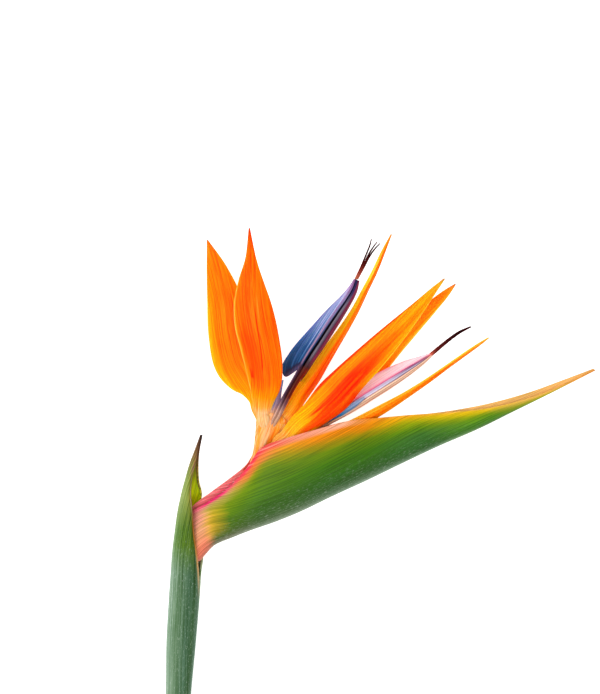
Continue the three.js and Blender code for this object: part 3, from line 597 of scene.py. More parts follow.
# The first two rows of each sepal are its foot, which runs on into the floret's tube.
SEPALS = {
    "floret_1_sepal_left": [
        [-52.0, 62.8, 10.2, 0.9, 14, 0.1],
        [-53.1, 66.2, 9.9, 1.3, 14, 0.2],
        [-54.3, 69.3, 9.4, 1.6, 14, 0.3],
        [-54.7, 73.8, 8.6, 2.7, 14, 0.6],
        [-56.5, 78.8, 7.6, 5.2, 15, 1.0],
        [-60.0, 84.4, 6.6, 8.7, 16, 1.4],
        [-63.6, 91.6, 6.0, 10.4, 17, 1.6],
        [-66.2, 103.6, 6.2, 9.9, 18, 1.5],
        [-68.0, 118.0, 7.2, 8.5, 19, 1.2],
        [-71.6, 132.6, 8.8, 4.9, 20, 0.7],
        [-75.7, 145.6, 9.8, 0.3, 20, 0.0],
    ],
    "floret_1_sepal_front": [
        [-49.6, 61.0, 12.6, 1.8, -3, 0.2],
        [-50.5, 65.0, 13.3, 3.0, -3, 0.4],
        [-50.8, 68.1, 12.3, 3.4, -3, 0.5],
        [-50.3, 74.6, 14.8, 5.4, -3, 1.3],
        [-49.6, 81.0, 16.8, 7.3, -1, 1.9],
        [-50.2, 89.6, 18.8, 8.4, 0, 2.2],
        [-51.8, 98.6, 20.8, 8.9, -1, 2.2],
        [-53.8, 107.6, 22.7, 9.2, -2, 2.0],
        [-55.2, 117.0, 24.5, 8.2, -2, 1.6],
        [-55.8, 127.0, 26.2, 5.5, -2, 1.1],
        [-55.8, 137.0, 27.5, 2.4, -1, 0.5],
        [-56.4, 150.0, 28.2, 0.3, 0, 0.0],
    ],
    "floret_1_sepal_right": [
        [-44.6, 60.6, 11.4, 2.2, -4, 0.2],
        [-42.8, 63.2, 11.6, 2.7, -5, 0.3],
        [-41.2, 65.3, 10.5, 2.3, -6, 0.4],
        [-37.8, 69.4, 9.3, 3.3, -8, 1.3],
        [-33.9, 75.9, 7.8, 3.7, -10, 2.8],
        [-28.3, 83.9, 6.7, 3.7, -10, 3.4],
        [-23.5, 91.4, 7.2, 3.2, -10, 3.2],
        [-18.6, 99.0, 8.3, 2.7, -10, 2.8],
        [-13.7, 106.5, 9.6, 2.2, -10, 2.3],
        [-9.1, 114.2, 10.8, 1.8, -10, 1.8],
        [-4.7, 123.0, 12.2, 1.5, -10, 1.4],
        [-0.6, 131.1, 13.4, 1.3, -8, 1.0],
        [3.0, 139.4, 14.6, 1.0, -6, 0.6],
        [6.9, 147.9, 15.8, 0.3, 0, 0.1],
    ],
    "floret_2_sepal_front": [
        [-44.2, 49.4, 12.1, 4.4, 2, 0.2],
        [-42.2, 52.9, 12.5, 5.6, 2, 0.4],
        [-39.0, 55.9, 12.7, 5.0, 2, 0.5],
        [-34.2, 61.7, 13.8, 5.4, -1, 1.0],
        [-28.1, 66.9, 14.9, 6.3, -5, 1.5],
        [-19.4, 75.2, 16.6, 8.2, -8, 2.0],
        [-12.2, 83.0, 18.0, 7.5, -8, 2.0],
        [-4.4, 90.8, 19.4, 6.8, -8, 1.8],
        [3.8, 99.2, 20.7, 5.8, -9, 1.5],
        [11.8, 107.6, 21.9, 4.4, -9, 1.1],
        [19.2, 115.6, 23.0, 2.9, -8, 0.7],
        [25.0, 122.2, 23.8, 1.6, -6, 0.3],
        [30.2, 127.8, 24.2, 0.3, 0, 0.0],
    ],
    "floret_2_sepal_behind": [
        [-41.6, 51.0, 9.6, 2.0, 0, 0.0],
        [-39.8, 53.2, 9.0, 2.3, 0, -0.1],
        [-37.6, 55.5, 8.3, 2.6, 1, -0.3],
        [-28.6, 61.8, 6.8, 3.6, 2, -0.6],
        [-18.4, 69.6, 5.8, 5.2, 3, -1.0],
        [-9.4, 77.6, 5.0, 5.8, 4, -1.2],
        [-1.8, 86.2, 4.5, 5.4, 5, -1.2],
        [5.6, 95.0, 4.3, 4.9, 5, -1.0],
        [13.0, 102.8, 4.6, 4.2, 5, -0.8],
        [19.8, 109.8, 5.2, 3.5, 5, -0.6],
        [26.2, 116.2, 6.2, 2.7, 3, -0.4],
        [31.8, 121.6, 7.4, 1.7, 2, -0.2],
        [36.1, 125.8, 8.4, 0.3, 0, 0.0],
    ],
    "floret_2_sepal_right": [
        [-39.0, 50.6, 10.0, 1.0, -4, 0.2],
        [-36.8, 51.8, 10.0, 1.2, -4, 0.3],
        [-34.2, 52.9, 10.0, 1.4, -4, 0.4],
        [-26.0, 56.0, 10.0, 1.8, -4, 0.8],
        [-17.2, 59.4, 9.6, 2.0, -4, 1.2],
        [-9.8, 62.7, 9.0, 2.3, -5, 1.6],
        [-2.5, 66.3, 8.6, 2.4, -6, 2.0],
        [4.6, 70.3, 8.8, 2.2, -8, 2.2],
        [12.3, 74.9, 9.2, 1.7, -8, 2.0],
        [19.1, 79.3, 9.8, 1.4, -8, 1.6],
        [25.8, 83.9, 10.3, 1.2, -8, 1.3],
        [33.1, 89.2, 10.8, 1.0, -8, 1.1],
        [40.4, 94.4, 11.2, 0.9, -6, 0.8],
        [46.3, 98.5, 11.5, 0.7, -4, 0.5],
        [50.8, 101.6, 11.8, 0.3, 0, 0.1],
    ],
}


def past_foot(u, foot, rows):
    """The fractions u of a path whose first rows, foot of them, are its foot, counted from its end."""
    spans = len(rows) - 1
    return np.maximum(0, (u * spans - foot) / (spans - foot))


def blade(name, rows, foot, crease, steps, across, pleat=0.0, wave=0.0, phase=0.0):
    """A blade along a path of rows x, y, z, half width, roll and fold. At v, from -1 at one edge to 1 at
    the other, it lies width times v to the side, and up by the fold times a mix of 1 - v squared and, as
    far as it is creased, 1 - |v|. Broad pleats run along it, with finer ones half as high between them,
    and its edges wave up and down. It is thin at its edges and thicker between."""
    edge, belly, taper = 0.35, 0.75, 0.14  # thickness, how much more between, its share of a half width
    u = 1 - (1 - np.linspace(0, 1, steps + 1)) ** 1.1
    v = np.sin(np.linspace(-np.pi / 2, np.pi / 2, 2 * across + 1))
    row = rows_at(rows, u)
    _, side, up = headings(rows, u, row[:, 4])
    width = np.maximum(row[:, 3], 0.2)[:, None]
    fold = row[:, 5][:, None]
    soft = np.sqrt(v**2 + 0.004) - 0.06
    lift = fold * ((1 - crease) * (1 - v**2) + crease * (1 - soft))
    body = np.minimum(1, width / 4)
    lift = lift + pleat * body * np.cos(9 * v + 2.0 * u[:, None] + phase) * (1 - v**2)
    lift = lift + pleat * 0.5 * body * np.cos(23 * v - 1.3 * u[:, None] + 2 * phase) * (1 - v**4)
    lift = lift + wave * body * np.abs(v) ** 3 * np.sin(11 * u[:, None] + 1.6 * np.sign(v) + phase)
    middle = row[:, None, :3] + side[:, None] * (width * v)[..., None] + up[:, None] * lift[..., None]
    out = unit(np.cross(np.gradient(middle, axis=1), np.gradient(middle, axis=0)))
    out *= np.sign(np.einsum("ij,ij->i", out[:, across], up).sum())
    half = 0.5 * (edge + np.minimum(belly, taper * width) * (1 - v**2)) * np.sqrt(1.02 - v**10)
    lift_off = out * half[..., None]
    return sheet(name, middle + lift_off, middle - lift_off, past_foot(u, foot, rows), (v + 1) / 2)


# Orange sepal tissue: satin, with fine veins. Each sepal shades from yellow at its foot to orange, with
# flushes of red, in its own way.
CREASE = (-0.325, 0.48)  # the slant of the first front sepal's crease: it strays across by this slope
sepal_layers = {
    "floret_1_sepal_left": [
        # the ground, and broad bands along it
        coat([(0, "#fdb264"), (0.04, "#fdc05c"), (0.1, "#fdbc14"), (0.25, "#fea400"), (0.6, "#fe9000"),
              (0.9, "#fe8c00"), (1, "#fb8a18")], waver=0.1),
        coat("#fe8600", [(0.34, 0), (0.5, 0.8), (0.8, 1), (0.95, 0.3)],
             [(0.16, 0), (0.3, 1), (0.8, 0.9), (0.95, 0.3)], waver=0.12),
        coat("#fd6c00", band(0.45, 0.58, 0.75, 0.9, 0.7),
             [(0.2, 0), (0.26, 0.8), (0.34, 0.3), (0.5, 0.4), (0.58, 0.9), (0.68, 0.9), (0.76, 0.2)],
             waver=0.08),
        # light streaks and dark veins
        coat("#ffa410", [(0.2, 0), (0.3, 0.8), (0.9, 0.7)], [(0.2, 0.3), (0.4, 0.8), (0.8, 0.5)],
             streaks=(0.52, 0.6)),
        coat("#f85e00", band(0.3, 0.45, 0.8, 0.95, 0.7), [(0.2, 0), (0.3, 1), (1, 1)], lines=(0.44, 0.34)),
        # a yellow left margin, partly its own yellow and partly a painted highlight where it rolls over,
        # with a thin painted highlight along its edge, and an orange right one
        coat("#fdc004", [(0.06, 1), (0.4, 0.8), (0.7, 0.5), (0.85, 0)], [(0, 1), (0.12, 0.9), (0.22, 0)],
             waver=0.06),
        coat("#ffd860", band(0.5, 0.6, 0.9, 0.98, 0.8, 0.9), [(0, 1), (0.012, 0.9), (0.03, 0)], waver=0.01),
        coat("#fa5a00", [(0.1, 1), (0.35, 0)], [(0.92, 0), (0.97, 0.8), (1, 0.6)], waver=0.06),
    ],
    "floret_1_sepal_front": [
        # the ground, and a darker left and lighter right half
        coat([(0, "#ffd4a0"), (0.05, "#ffc050"), (0.12, "#feaa02"), (0.22, "#fe9000"), (0.5, "#fe8200"),
              (0.9, "#fd8000"), (0.96, "#f85404"), (1, "#f03004")], waver=0.08),
        coat("#fd6a00", band(0.12, 0.26, 0.9, 1, 0.9),
             [(0.1, 0), (0.24, 1), (0.44, 1), (0.5, 0.3), (0.9, 0)], waver=0.1),
        coat("#fe8404", band(0.3, 0.45, 0.7, 0.9, 1, 0.8), [(0.5, 0), (0.54, 0.9), (0.8, 0.7), (0.94, 0.2)],
             waver=0.06, slant=CREASE),
        coat("#fc7402", band(0.2, 0.32, 0.48, 0.6, 0.8, 0.7), [(0.5, 0), (0.56, 0.8), (0.9, 0.8), (1, 0.4)],
             waver=0.1),
        # light streaks and dark veins
        coat("#ff9c20", [(0.2, 0), (0.3, 0.7), (0.9, 0.6)], [(0.06, 0), (0.2, 0.8), (0.9, 0.8)],
             streaks=(0.54, 0.62)),
        coat("#fa5200", band(0.1, 0.24, 0.85, 0.95, 0.7), lines=(0.44, 0.34)),
        # red flush and spot at the left, the crease painted dark red as the shadow of its fold, and a
        # painted highlight beside it
        coat("#fb5400", band(0.24, 0.3, 0.5, 0.62, 0.9, 0.8), band(0.06, 0.12, 0.3, 0.42, 0.9), waver=0.08),
        coat("#ee3000", band(0.262, 0.275, 0.3, 0.33, 1, 0.8), band(0.12, 0.14, 0.18, 0.21), waver=0.02),
        coat("#ee2c00", band(0.29, 0.33, 0.6, 0.68), band(0.484, 0.496, 0.514, 0.528),
             slant=CREASE),
        coat("#ffae40", band(0.56, 0.62, 0.68, 0.72, 0.8), [(0.55, 0), (0.565, 0.8), (0.585, 0)],
             slant=CREASE),
        # a yellow left margin and a red right one
        coat("#ffb02c", [(0.1, 1), (0.8, 0.8), (0.9, 0)], [(0, 1), (0.025, 0.8), (0.05, 0)], waver=0.02),
        coat("#f83a02", [(0.1, 0), (0.2, 1), (0.56, 1), (0.7, 0.3), (0.9, 0)],
             [(0.955, 0), (0.98, 0.9), (1, 0.9)], waver=0.03),
    ],
    "floret_1_sepal_right": [
        # the ground, and the yellow left facet of the fold
        coat([(0, "#ffc070"), (0.05, "#ffc440"), (0.14, "#feb804"), (0.28, "#fe8c02"), (1, "#fd8a06")],
             waver=0.1),
        coat([(0.3, "#ffca18"), (0.5, "#ffd018"), (0.7, "#ffd820"), (0.82, "#ffd23c"), (0.9, "#fec02c"),
              (0.97, "#fc9818")], [(0.08, 0), (0.24, 1), (0.95, 1), (1, 0.6)],
             [(0, 1), (0.45, 1), (0.49, 0)], waver=0.04),
        coat("#ffa808", band(0.26, 0.36, 0.6, 0.8, 0.7, 0.5), [(0.06, 0), (0.2, 0.9), (0.4, 0)],
             streaks=(0.5, 0.6)),
        # the right facet: a red flush, light streaks and a red margin
        coat("#fd5a02", band(0.12, 0.22, 0.4, 0.56, 0.8, 0.9),
             [(0.24, 0), (0.46, 0.6), (0.6, 1), (0.86, 0.8), (0.92, 0)], waver=0.24),
        coat("#ffa200", band(0.12, 0.24, 0.5, 0.7, 0.9, 0.8), streaks=(0.48, 0.36)),
        coat("#fb3602", [(0.12, 0), (0.2, 1), (0.6, 0.8), (1, 0.4)], [(0.92, 0), (0.96, 0.9), (1, 1)],
             waver=0.03),
    ],
    "floret_2_sepal_front": [
        # the ground, and its flushes from orange to red
        coat([(0, "#fdc868"), (0.05, "#fec828"), (0.14, "#fec804"), (0.24, "#feae00"), (0.34, "#fe9600"),
              (0.6, "#fe9e02"), (0.85, "#feb408"), (0.97, "#fec428"), (1, "#fca030")], waver=0.1),
        coat("#fd7400", band(0.2, 0.32, 0.52, 0.7, 0.9, 0.7), band(0.3, 0.46, 0.62, 0.76, 1, 0.9),
             waver=0.24),
        coat("#fe3400", band(0.16, 0.26, 0.46, 0.66, 0.9, 1), band(0.3, 0.42, 0.72, 0.86, 0.9, 1),
             waver=0.34),
        coat("#fc1200", band(0.16, 0.24, 0.38, 0.56), [(0.36, 0), (0.5, 0.8), (0.74, 1), (0.94, 0.6)],
             waver=0.2, streaks=(0.5, 0.6)),
        # light streaks, and more red along the lower margin
        coat("#fe7400", band(0.16, 0.26, 0.6, 0.8, 0.6, 0.8), band(0.2, 0.4, 0.8, 0.9, 0.9, 0.8),
             streaks=(0.46, 0.36)),
        coat("#fe4600", band(0.02, 0.1, 0.24, 0.34), band(0.55, 0.7, 0.84, 0.92, 0.9), waver=0.2),
        coat("#fc3200", band(0.14, 0.2, 0.36, 0.46, 0.9), [(0.8, 0), (0.88, 0.9), (1, 1)], waver=0.06),
        # yellow lines along the lower margin further up, and a red upper margin
        coat("#ffae04", [(0.38, 0), (0.52, 0.9), (0.9, 1)],
             [(0.8, 0), (0.86, 0.9), (0.9, 0.3), (0.93, 0.9), (1, 1)], waver=0.03),
        coat("#ffd820", [(0.4, 0), (0.55, 0.9), (0.95, 1)],
             [(0.87, 0), (0.9, 0.9), (0.92, 0), (0.95, 0), (0.97, 1)], waver=0.03),
        coat("#fa1402", [(0.2, 0), (0.28, 0.9), (0.7, 0.8), (0.95, 0.2)], [(0, 1), (0.06, 1), (0.095, 0)],
             waver=0.02),
    ],
    "floret_2_sepal_behind": [
        coat([(0, "#fcb458"), (0.2, "#fe9804"), (0.7, "#fe9c04"), (0.92, "#fea008"), (1, "#fc8a34")],
             waver=0.1),
        coat("#fd7402", band(0.5, 0.7, 0.86, 0.96, 0.9), [(0, 0.8), (0.3, 0.9), (0.5, 0.6), (0.66, 0)],
             waver=0.2),
        coat("#ffb00c", band(0.4, 0.6, 0.9, 1, 1, 0.8), [(0.6, 0), (0.76, 0.9), (1, 1)], waver=0.1),
        coat("#ffdc50", band(0.4, 0.6, 0.9, 1, 0.8), [(0.9, 0), (0.96, 0.9), (1, 1)], waver=0.03),
    ],
    "floret_2_sepal_right": [
        coat([(0, "#fcc060"), (0.1, "#feb404"), (0.3, "#fd8a02"), (0.7, "#fd8402"), (1, "#fcaa30")],
             waver=0.1),
        coat("#fcc22c", across=[(0, 1), (0.28, 0.9), (0.42, 0)], waver=0.1),
        coat("#fda408", across=[(0.7, 0), (0.84, 0.9), (1, 1)], waver=0.1),
    ],
}
for number, (node, rows) in enumerate(SEPALS.items()):
    keeled = node.endswith("_right")
    look = paint("orange_" + node, sepal_layers[node], "#fcc088", gauge=0.55, roughness=0.48, bump=0.4,
                 shine=0.04, glow=0.8)
    crease, pleat, wave = (0.85, 0.05, 0.12) if keeled else (0.25, 0.14, 0.35)
    piece = blade(node + "_blade", rows, foot=2, crease=crease, steps=260, across=26,
                  pleat=pleat, wave=wave, phase=1.7 * number)
    dress(piece, node, look)


# The blue arrows
# Two blue petals grown together along a groove that holds the anthers, with a wing on either side that
# ends in a rounded lobe near the foot. Below the lobes they narrow to a maroon shaft.

# The first two rows of each arrow are its foot, which runs on into the floret's tube.
ARROWS = {
    "floret_1_arrow": [
        [-46.6, 61.4, 11.6, 1.0, 0, 0, 0, 4],
        [-45.5, 64.2, 12.4, 1.3, 0, 0, 0, 5],
        [-44.4, 66.2, 12.8, 1.5, 0, 0, 0, 6],
        [-42.0, 71.0, 13.3, 1.6, 0, 0, 0, 10],
        [-39.3, 76.2, 13.2, 1.6, 0, 0, 0, 12],
        [-36.3, 81.4, 13.0, 1.6, 0, 0, 0, 14],
        [-33.3, 86.3, 12.8, 1.8, 0.2, 0.2, 0, 15],
        [-32.0, 88.6, 12.4, 2.2, 3.4, 0.8, 8.4, 16],
        [-30.3, 91.3, 12.8, 2.5, 6.8, 1.2, 9.2, 17],
        [-27.9, 95.0, 13.3, 2.6, 7.1, 1.3, 6.4, 18],
        [-24.6, 99.9, 13.9, 2.6, 6.4, 1.3, 4.0, 19],
        [-20.7, 105.9, 14.6, 2.6, 5.0, 1.1, 2.8, 20],
        [-16.5, 112.2, 15.3, 2.4, 3.8, 0.9, 1.8, 21],
        [-12.6, 118.2, 16.0, 2.0, 2.3, 0.7, 1.0, 22],
        [-10.0, 122.9, 16.5, 1.7, 1.3, 0.5, 0.4, 22],
        [-8.5, 127.4, 17.0, 1.1, 0.4, 0.3, 0, 22],
    ],
    "floret_2_arrow": [
        [-42.0, 52.6, 10.2, 0.9, 0, 0, 0, 0],
        [-39.8, 54.3, 10.3, 1.2, 0, 0, 0, 0],
        [-37.4, 55.9, 10.4, 1.4, 0, 0, 0, 0],
        [-30.2, 60.0, 10.3, 1.5, 0, 0, 0, 0],
        [-23.2, 63.4, 10.3, 1.8, 0, 0, 0, 0],
        [-17.8, 66.7, 10.4, 2.3, 0, 0, 0, 0],
        [-12.5, 70.0, 10.5, 2.7, 0, 0, 0, 0],
        [-7.1, 73.3, 10.6, 2.8, 0.3, 0.2, 0, 0],
        [-3.7, 75.5, 10.7, 2.8, 2.0, 0.5, 2.6, 0],
        [0.1, 77.9, 10.9, 2.8, 3.4, 0.8, 2.6, 0],
        [4.7, 80.8, 11.0, 2.8, 3.4, 0.8, 2.0, 0],
        [10.0, 84.1, 11.2, 2.6, 3.0, 0.7, 1.2, 0],
        [15.3, 87.5, 11.5, 2.2, 2.2, 0.6, 0.6, 0],
        [20.2, 90.6, 11.8, 1.6, 1.2, 0.4, 0.3, 0],
        [24.9, 93.9, 12.1, 0.7, 0.3, 0.2, 0, 0],
    ],
}


def arrow(name, rows, foot, steps, across, groove):
    """Two petals grown together, as one folded sheet. Its rows hold x, y, z, the shaft's half width, the
    reach of the near and of the far wing, the sweep and the roll. Its section runs from the near wing's
    edge over the near lip, down into the groove, over the far lip and down the far wing, as a smooth
    curve through nine points that scale with the half width and the reaches. The groove's bottom lies
    groove half widths high. The wings' edges lag behind by the sweep. The sheet is thick at the shaft
    and thin at the wings' edges."""
    u = np.linspace(0, 1, steps + 1)
    row = rows_at(rows, u)
    half, near, far, sweep = row[:, 3], *np.maximum(row[:, 4:7].T, 0.05)
    ahead, side, up = headings(rows, u, row[:, 7])
    zero = np.zeros(len(u))
    section = np.stack([np.stack(column, -1) for column in (
        (-half - near, -0.15 * near, -sweep),
        (-half - 0.55 * near, 0.1 * half, -0.45 * sweep),
        (-half, 0.55 * half, zero),
        (-0.45 * half, 1.15 * half, zero),
        (zero, groove * half, zero),
        (0.45 * half, 1.15 * half, zero),
        (half, 0.4 * half, zero),
        (0.75 * half + 0.05 * far, -0.4 * half - 0.45 * far, -0.4 * sweep),
        (0.5 * half + 0.12 * far, -half - far, -0.8 * sweep))], 1)
    v = np.linspace(0, 1, across + 1)
    curve = rows_at(section.transpose(1, 0, 2).reshape(9, -1), v)
    curve = curve.reshape(len(v), len(u), 3).transpose(1, 0, 2)
    axes = np.stack([side, up, ahead], 1)
    middle = row[:, None, :3] + np.einsum("uvk,ukx->uvx", curve, axes)
    out = unit(np.cross(np.gradient(middle, axis=1), np.gradient(middle, axis=0)))
    out *= np.sign(np.einsum("ij,ij->i", out[:, across // 2], up).sum())
    centre = np.exp(-(((v - 0.5) / 0.16) ** 2))
    thick = (0.3 + 0.55 * centre[None, :] * half[:, None] / 2) * np.sqrt(1.02 - (2 * v - 1) ** 16)
    return sheet(name, middle + 0.15 * out, middle - out * thick[..., None], past_foot(u, foot, rows), v)


# Blue petal tissue: satin. It is steel blue at the lobes and lavender further up, with a mauve lip, a
# groove painted dark as its shadow, a grey-mauve far side, and a maroon shaft on a peach foot.
blue = paint("blue_arrow_petal", [
    # the near wing: its ground, lavender and dark streaks, light and dark veins
    coat([(0, "#6a3440"), (0.3, "#3a3a60"), (0.4, "#1a3a60"), (0.46, "#12507e"), (0.56, "#185488"),
          (0.63, "#4876b0"), (0.7, "#7794ca"), (0.8, "#9cacda"), (0.88, "#b4b0dc"), (0.94, "#be88c6"),
          (1, "#7a568c")], waver=0.08),
    coat([(0.4, "#2a6ca0"), (0.6, "#5a84c0"), (0.7, "#a49ad0"), (1, "#c8a8da")],
         [(0.36, 0), (0.42, 0.8), (1, 0.7)], streaks=(0.5, 0.62)),
    coat("#083e70", [(0.38, 0), (0.44, 1), (0.62, 0.9), (0.76, 0.2)], streaks=(0.47, 0.38)),
    coat([(0.5, "#6a9cd0"), (0.65, "#bcd4f0"), (0.8, "#e8ecfa"), (1, "#d8b0e0")],
         [(0.46, 0), (0.6, 0.6), (0.9, 0.9), (0.97, 0.2)], band(0.06, 0.12, 0.26, 0.31, 0.7, 1),
         lines=(0.54, 0.62)),
    coat([(0.4, "#06305c"), (0.6, "#2c5494"), (0.8, "#6a70b4"), (1, "#7a4a98")],
         [(0.38, 0), (0.46, 0.9), (0.9, 0.7), (0.97, 0.2)], [(0, 0.6), (0.1, 0.9), (0.28, 0.9), (0.31, 0)],
         lines=(0.42, 0.34)),
    # the lobe's dark end, its own navy edge with a painted shadow of the fold there, and the blue edge
    # above it
    coat("#16163a", band(0.34, 0.36, 0.395, 0.42, 0.9), [(0, 1), (0.28, 1), (0.33, 0)], waver=0.02),
    coat([(0.4, "#0e5494"), (0.6, "#1c6cb2"), (0.75, "#6a6ab0"), (1, "#8a4a9a")], [(0.38, 0), (0.44, 1)],
         [(0, 1), (0.02, 1), (0.05, 0)]),
    # further across: the mauve lip, the grey-mauve far side with a light line, the maroon far edge
    coat([(0.35, "#6a4a6a"), (0.5, "#a07e98"), (0.66, "#b48eaa"), (0.85, "#a67cac"), (1, "#8a4a7a")],
         [(0.34, 0), (0.42, 1)], band(0.3, 0.34, 0.385, 0.41, 1, 0.9), waver=0.03),
    coat([(0.4, "#56302e"), (0.5, "#544650"), (0.65, "#504850"), (0.8, "#544c62"), (0.92, "#3c3464"),
          (1, "#2a2a56")], [(0.28, 0), (0.36, 1)], [(0.5, 0), (0.55, 1)]),
    coat("#8c8288", band(0.46, 0.56, 0.82, 0.9, 1, 0.8), band(0.57, 0.61, 0.66, 0.69, 0.8, 0.7),
         waver=0.03),
    coat("#8c2c4c", [(0.4, 0), (0.5, 1)], [(0.66, 0), (0.7, 1), (1, 1)], waver=0.03),
    # the groove, painted near black as its shadow
    coat([(0.3, "#2c0c12"), (0.45, "#0c0a14"), (0.75, "#14101e"), (0.88, "#2a2448"), (1, "#20204c")],
         [(0.26, 0), (0.36, 1)], band(0.405, 0.435, 0.52, 0.555), waver=0.02),
    # the maroon shaft and its peach foot
    coat([(0.2, "#5d5478"), (0.3, "#5a4866"), (0.36, "#3a1e30"), (0.44, "#662a30"), (0.52, "#8a4a34"),
          (0.62, "#803420"), (0.68, "#6a1810"), (0.74, "#a02810"), (0.8, "#b83414")], [(0.33, 1), (0.4, 0)],
         by="across", waver=0.04),
    coat([(0, "#e4b490"), (0.04, "#d8a890"), (0.1, "#a27c84")], [(0.05, 1), (0.14, 0)], waver=0.05),
], "#a8a4c8", gauge=0.46, roughness=0.42, bump=0.4)

# Pale petal tissue of a floret just opened: satin, with a pink wing, a magenta lip, a lilac-grey groove
# and a beige far side with thin brown lines.
pale = paint("pale_arrow_petal", [
    # the ground from wing to far side, with its lines
    coat([(0, "#fba8c0"), (0.03, "#ffd4e0"), (0.12, "#fff0f6"), (0.24, "#ffe4ee"), (0.32, "#ffccdc"),
          (0.345, "#f88cae"), (0.37, "#d0608c"), (0.39, "#d0b0cc"), (0.44, "#d8d4ec"), (0.53, "#dcd8ea"),
          (0.555, "#a89ca4"), (0.57, "#a8806c"), (0.585, "#f8d0ac"), (0.62, "#ffd8b8"), (0.632, "#a47c62"),
          (0.645, "#f0c4a0"), (0.68, "#ffdcbc"), (0.695, "#b48c74"), (0.71, "#f4ccb0"), (0.78, "#fcd4c4"),
          (1, "#f8c8c8")], by="across", waver=0.006),
    coat("#fff0f4", band(0.4, 0.5, 0.85, 0.95, 0.8), band(0.04, 0.1, 0.26, 0.32, 0.9), streaks=(0.48, 0.6)),
    # darker lips towards the tip, and a grey groove
    coat("#4a4a72", [(0.62, 0), (0.75, 0.8), (0.92, 0.9), (0.98, 0.3)], band(0.5, 0.53, 0.56, 0.58, 0.9),
         waver=0.01),
    coat("#7c2c62", [(0.7, 0), (0.84, 0.9), (1, 0.6)], band(0.34, 0.37, 0.42, 0.46, 0.9), waver=0.01),
    coat("#ccd8ea", band(0, 0.12, 0.4, 0.5, 0.6), band(0.36, 0.4, 0.54, 0.56, 0.9), streaks=(0.46, 0.6)),
    # the peach foot and the reddish tip
    coat([(0, "#fcd4a4"), (0.1, "#f6b868"), (0.16, "#e8b890")], [(0.06, 1), (0.16, 0)], waver=0.1),
    coat([(0.9, "#a0708c"), (0.96, "#b06074"), (1, "#ee7a76")], [(0.88, 0), (0.95, 0.8), (1, 1)],
         band(0.26, 0.36, 0.5, 0.6)),
], "#ecd4dc", gauge=0.4, roughness=0.42, bump=0.25)
for (node, rows), look, groove in zip(ARROWS.items(), (blue, pale), (0.45, 0.9)):
    petals = arrow(node + "_petals", rows, foot=2, steps=240, across=64, groove=groove)
    dress(petals, node, look)


# The hood petals
# The third petal of each floret, a short narrow blade of thin tissue, which grows out of the tube and
# hoods the arrow's foot.

# The first row of each hood is its foot, which runs on into the tube or behind the front sepal.
HOODS = {
    "floret_1_hood": [
        [-46.4, 63.4, 11.4, 0.9, -20, 0.1],
        [-45.9, 68.3, 11.3, 1.6, -20, 0.2],
        [-44.6, 72.7, 11.8, 1.9, -20, 0.4],
        [-43.4, 77.8, 12.9, 1.3, -20, 0.4],
        [-41.6, 82.6, 14.4, 0.3, -15, 0.0],
    ],
    "floret_2_hood": [
        [-32.2, 60.0, 12.0, 0.7, -10, 0.1],
        [-26.8, 62.1, 12.8, 0.8, -10, 0.2],
        [-19.0, 66.1, 13.4, 1.4, -10, 0.5],
        [-10.9, 70.8, 14.2, 1.4, -10, 0.5],
        [-5.0, 74.7, 14.9, 0.3, -10, 0.0],
    ],
}


# Lilac petal tissue: satin, mauve and peach at the foot, with a bright blue edge. The other floret's is
# deep blue below, pale above, with a thin yellow edge at its foot.
lilac = paint("lilac_hood_petal", [
    coat([(0, "#f0bc94"), (0.2, "#c8a4ac"), (0.6, "#a89cc0"), (1, "#5cb0e0")], waver=0.16),
    coat("#1c90d4", [(0, 0), (0.3, 1)], [(0, 1), (0.2, 0.9), (0.4, 0)], waver=0.06),
], "#b0a8c8", gauge=0.3, roughness=0.42, bump=0.3, glow=0.3)
vivid = paint("blue_hood_petal", [
    coat([(0, "#0c4470"), (0.34, "#105a8c"), (0.46, "#3c8cb8"), (0.6, "#8cacc8"), (1, "#bcc0d8")],
         waver=0.08),
    coat("#f4bc20", [(0.34, 1), (0.46, 0)], [(0.84, 0), (0.92, 0.9), (1, 1)], waver=0.04),
], "#7c90b8", gauge=0.25, roughness=0.4, bump=0.3)
for (node, rows), look in zip(HOODS.items(), (lilac, vivid)):
    petal = blade(node + "_petal", rows, foot=1, crease=0.3, steps=90, across=10, pleat=0.03, phase=0.4)
    dress(petal, node, look)


# The styles
# A dark thread-like style comes out at each arrow's tip and carries the stigma. The open floret's
# stigma has parted into threads.

STYLES = {
    "floret_1_style": [
        [[-9.3, 127.7, 17.0, 0.45], [-6.8, 133.1, 18.6, 0.4], [-4.7, 138.2, 20.1, 0.4],
         [-3.1, 142.2, 21.2, 0.35], [-2.3, 145.2, 22.2, 0.25]],
        [[-8.8, 127.7, 17.4, 0.45], [-5.9, 133.4, 19.1, 0.4], [-3.6, 138.3, 20.2, 0.4],
         [-1.6, 141.6, 20.8, 0.35], [0.2, 144.0, 21.2, 0.25]],
        [[-8.4, 127.8, 16.9, 0.45], [-5.3, 133.4, 18.4, 0.4], [-2.9, 138.0, 19.6, 0.4],
         [-0.6, 141.2, 20.2, 0.35], [1.5, 143.4, 20.4, 0.25]],
    ],
    "floret_2_style": [
        [[23.6, 93.0, 12.0, 0.8], [26.4, 95.4, 12.3, 0.9], [32.4, 100.4, 13.4, 0.8],
         [37.4, 104.0, 14.2, 0.7], [42.3, 106.4, 15.0, 0.4]],
    ],
}

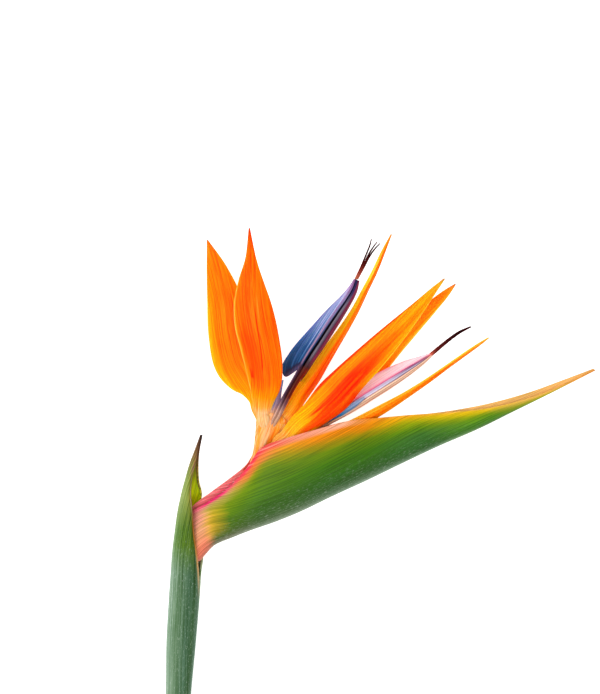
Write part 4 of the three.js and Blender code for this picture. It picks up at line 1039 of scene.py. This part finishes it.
# Maroon thread: matte, nearly black, on an orange-brown foot.
maroon = paint("maroon_stigma", [
    coat([(0, "#f0906c"), (0.14, "#d0604a"), (0.3, "#8c2c28"), (0.5, "#4c0c10"), (0.8, "#2c0204"),
          (1, "#5a1418")], waver=0.1),
    coat("#240204", [(0.15, 0), (0.3, 0.8), (1, 0.6)], lines=(0.45, 0.6)),
], "#701c1c", gauge=0.25, roughness=0.6, bump=0.4, shine=0.03)
for node, threads in STYLES.items():
    strands = [tube(f"{node}_strand_{k}", rows, sides=20, steps=60, rib=0.05, ribs=3, dome=0.3)
               for k, rows in enumerate(threads)]
    with bpy.context.temp_override(active_object=strands[0], selected_editable_objects=strands):
        if len(strands) > 1:
            bpy.ops.object.join()
    strands[0].name = node + "_thread"
    dress(strands[0], node, maroon)


# The studio
# A white surface lit through from below and by large soft lights, and a camera straight above the
# flower, with the photograph's framing. The lights' places and sizes are in metres.

VIEW_CENTRE = (-34.0, 97.4)
VIEW_HEIGHT = 1051.0  # above the surface

floor_mesh = bpy.data.meshes.new("surface")
reach = 3.0  # metres from its middle to each side
floor_mesh.from_pydata([(-reach, -reach, 0), (reach, -reach, 0), (reach, reach, 0), (-reach, reach, 0)],
                       [], [(0, 1, 2, 3)])
floor = bpy.data.objects.new("surface", floor_mesh)
bpy.context.scene.collection.objects.link(floor)
white = bpy.data.materials.new("white_light_table")
white.use_nodes = True
white_shader = white.node_tree.nodes["Principled BSDF"]
white_shader.inputs["Base Color"].default_value = linear("#d8d8d8")
white_shader.inputs["Roughness"].default_value = 0.9
white_shader.inputs["Emission Color"].default_value = (1, 1, 1, 1)
white_shader.inputs["Emission Strength"].default_value = 0.85
floor_mesh.materials.append(white)

world = bpy.data.worlds.new("studio")
bpy.context.scene.world = world
world.use_nodes = True
world.node_tree.nodes["Background"].inputs["Color"].default_value = (1, 1, 1, 1)
world.node_tree.nodes["Background"].inputs["Strength"].default_value = 0.62

for title, place, size, power in (("key", (-0.7, 0.5, 1.1), 0.9, 9.5),
                                  ("fill", (-0.1, -0.6, 1.3), 1.2, 6.5)):
    light = bpy.data.lights.new(title, "AREA")
    light.size = size
    light.energy = power
    lamp = bpy.data.objects.new(title, light)
    lamp.location = place
    towards = np.array([-0.02, 0.05, 0.0]) - np.array(place)
    lamp.rotation_mode = "QUATERNION"
    lamp.rotation_quaternion = Vector(towards).to_track_quat("-Z", "Y")
    bpy.context.scene.collection.objects.link(lamp)

lens = bpy.data.cameras.new("camera")
lens.lens = 120.0
lens.sensor_width = 36.0
lens.clip_end = 10.0
camera = bpy.data.objects.new("camera", lens)
camera.location = (VIEW_CENTRE[0] * MM, VIEW_CENTRE[1] * MM, VIEW_HEIGHT * MM)
bpy.context.scene.collection.objects.link(camera)
bpy.context.scene.camera = camera
bpy.context.scene.view_settings.view_transform = "Standard"

bpy.context.view_layer.update()
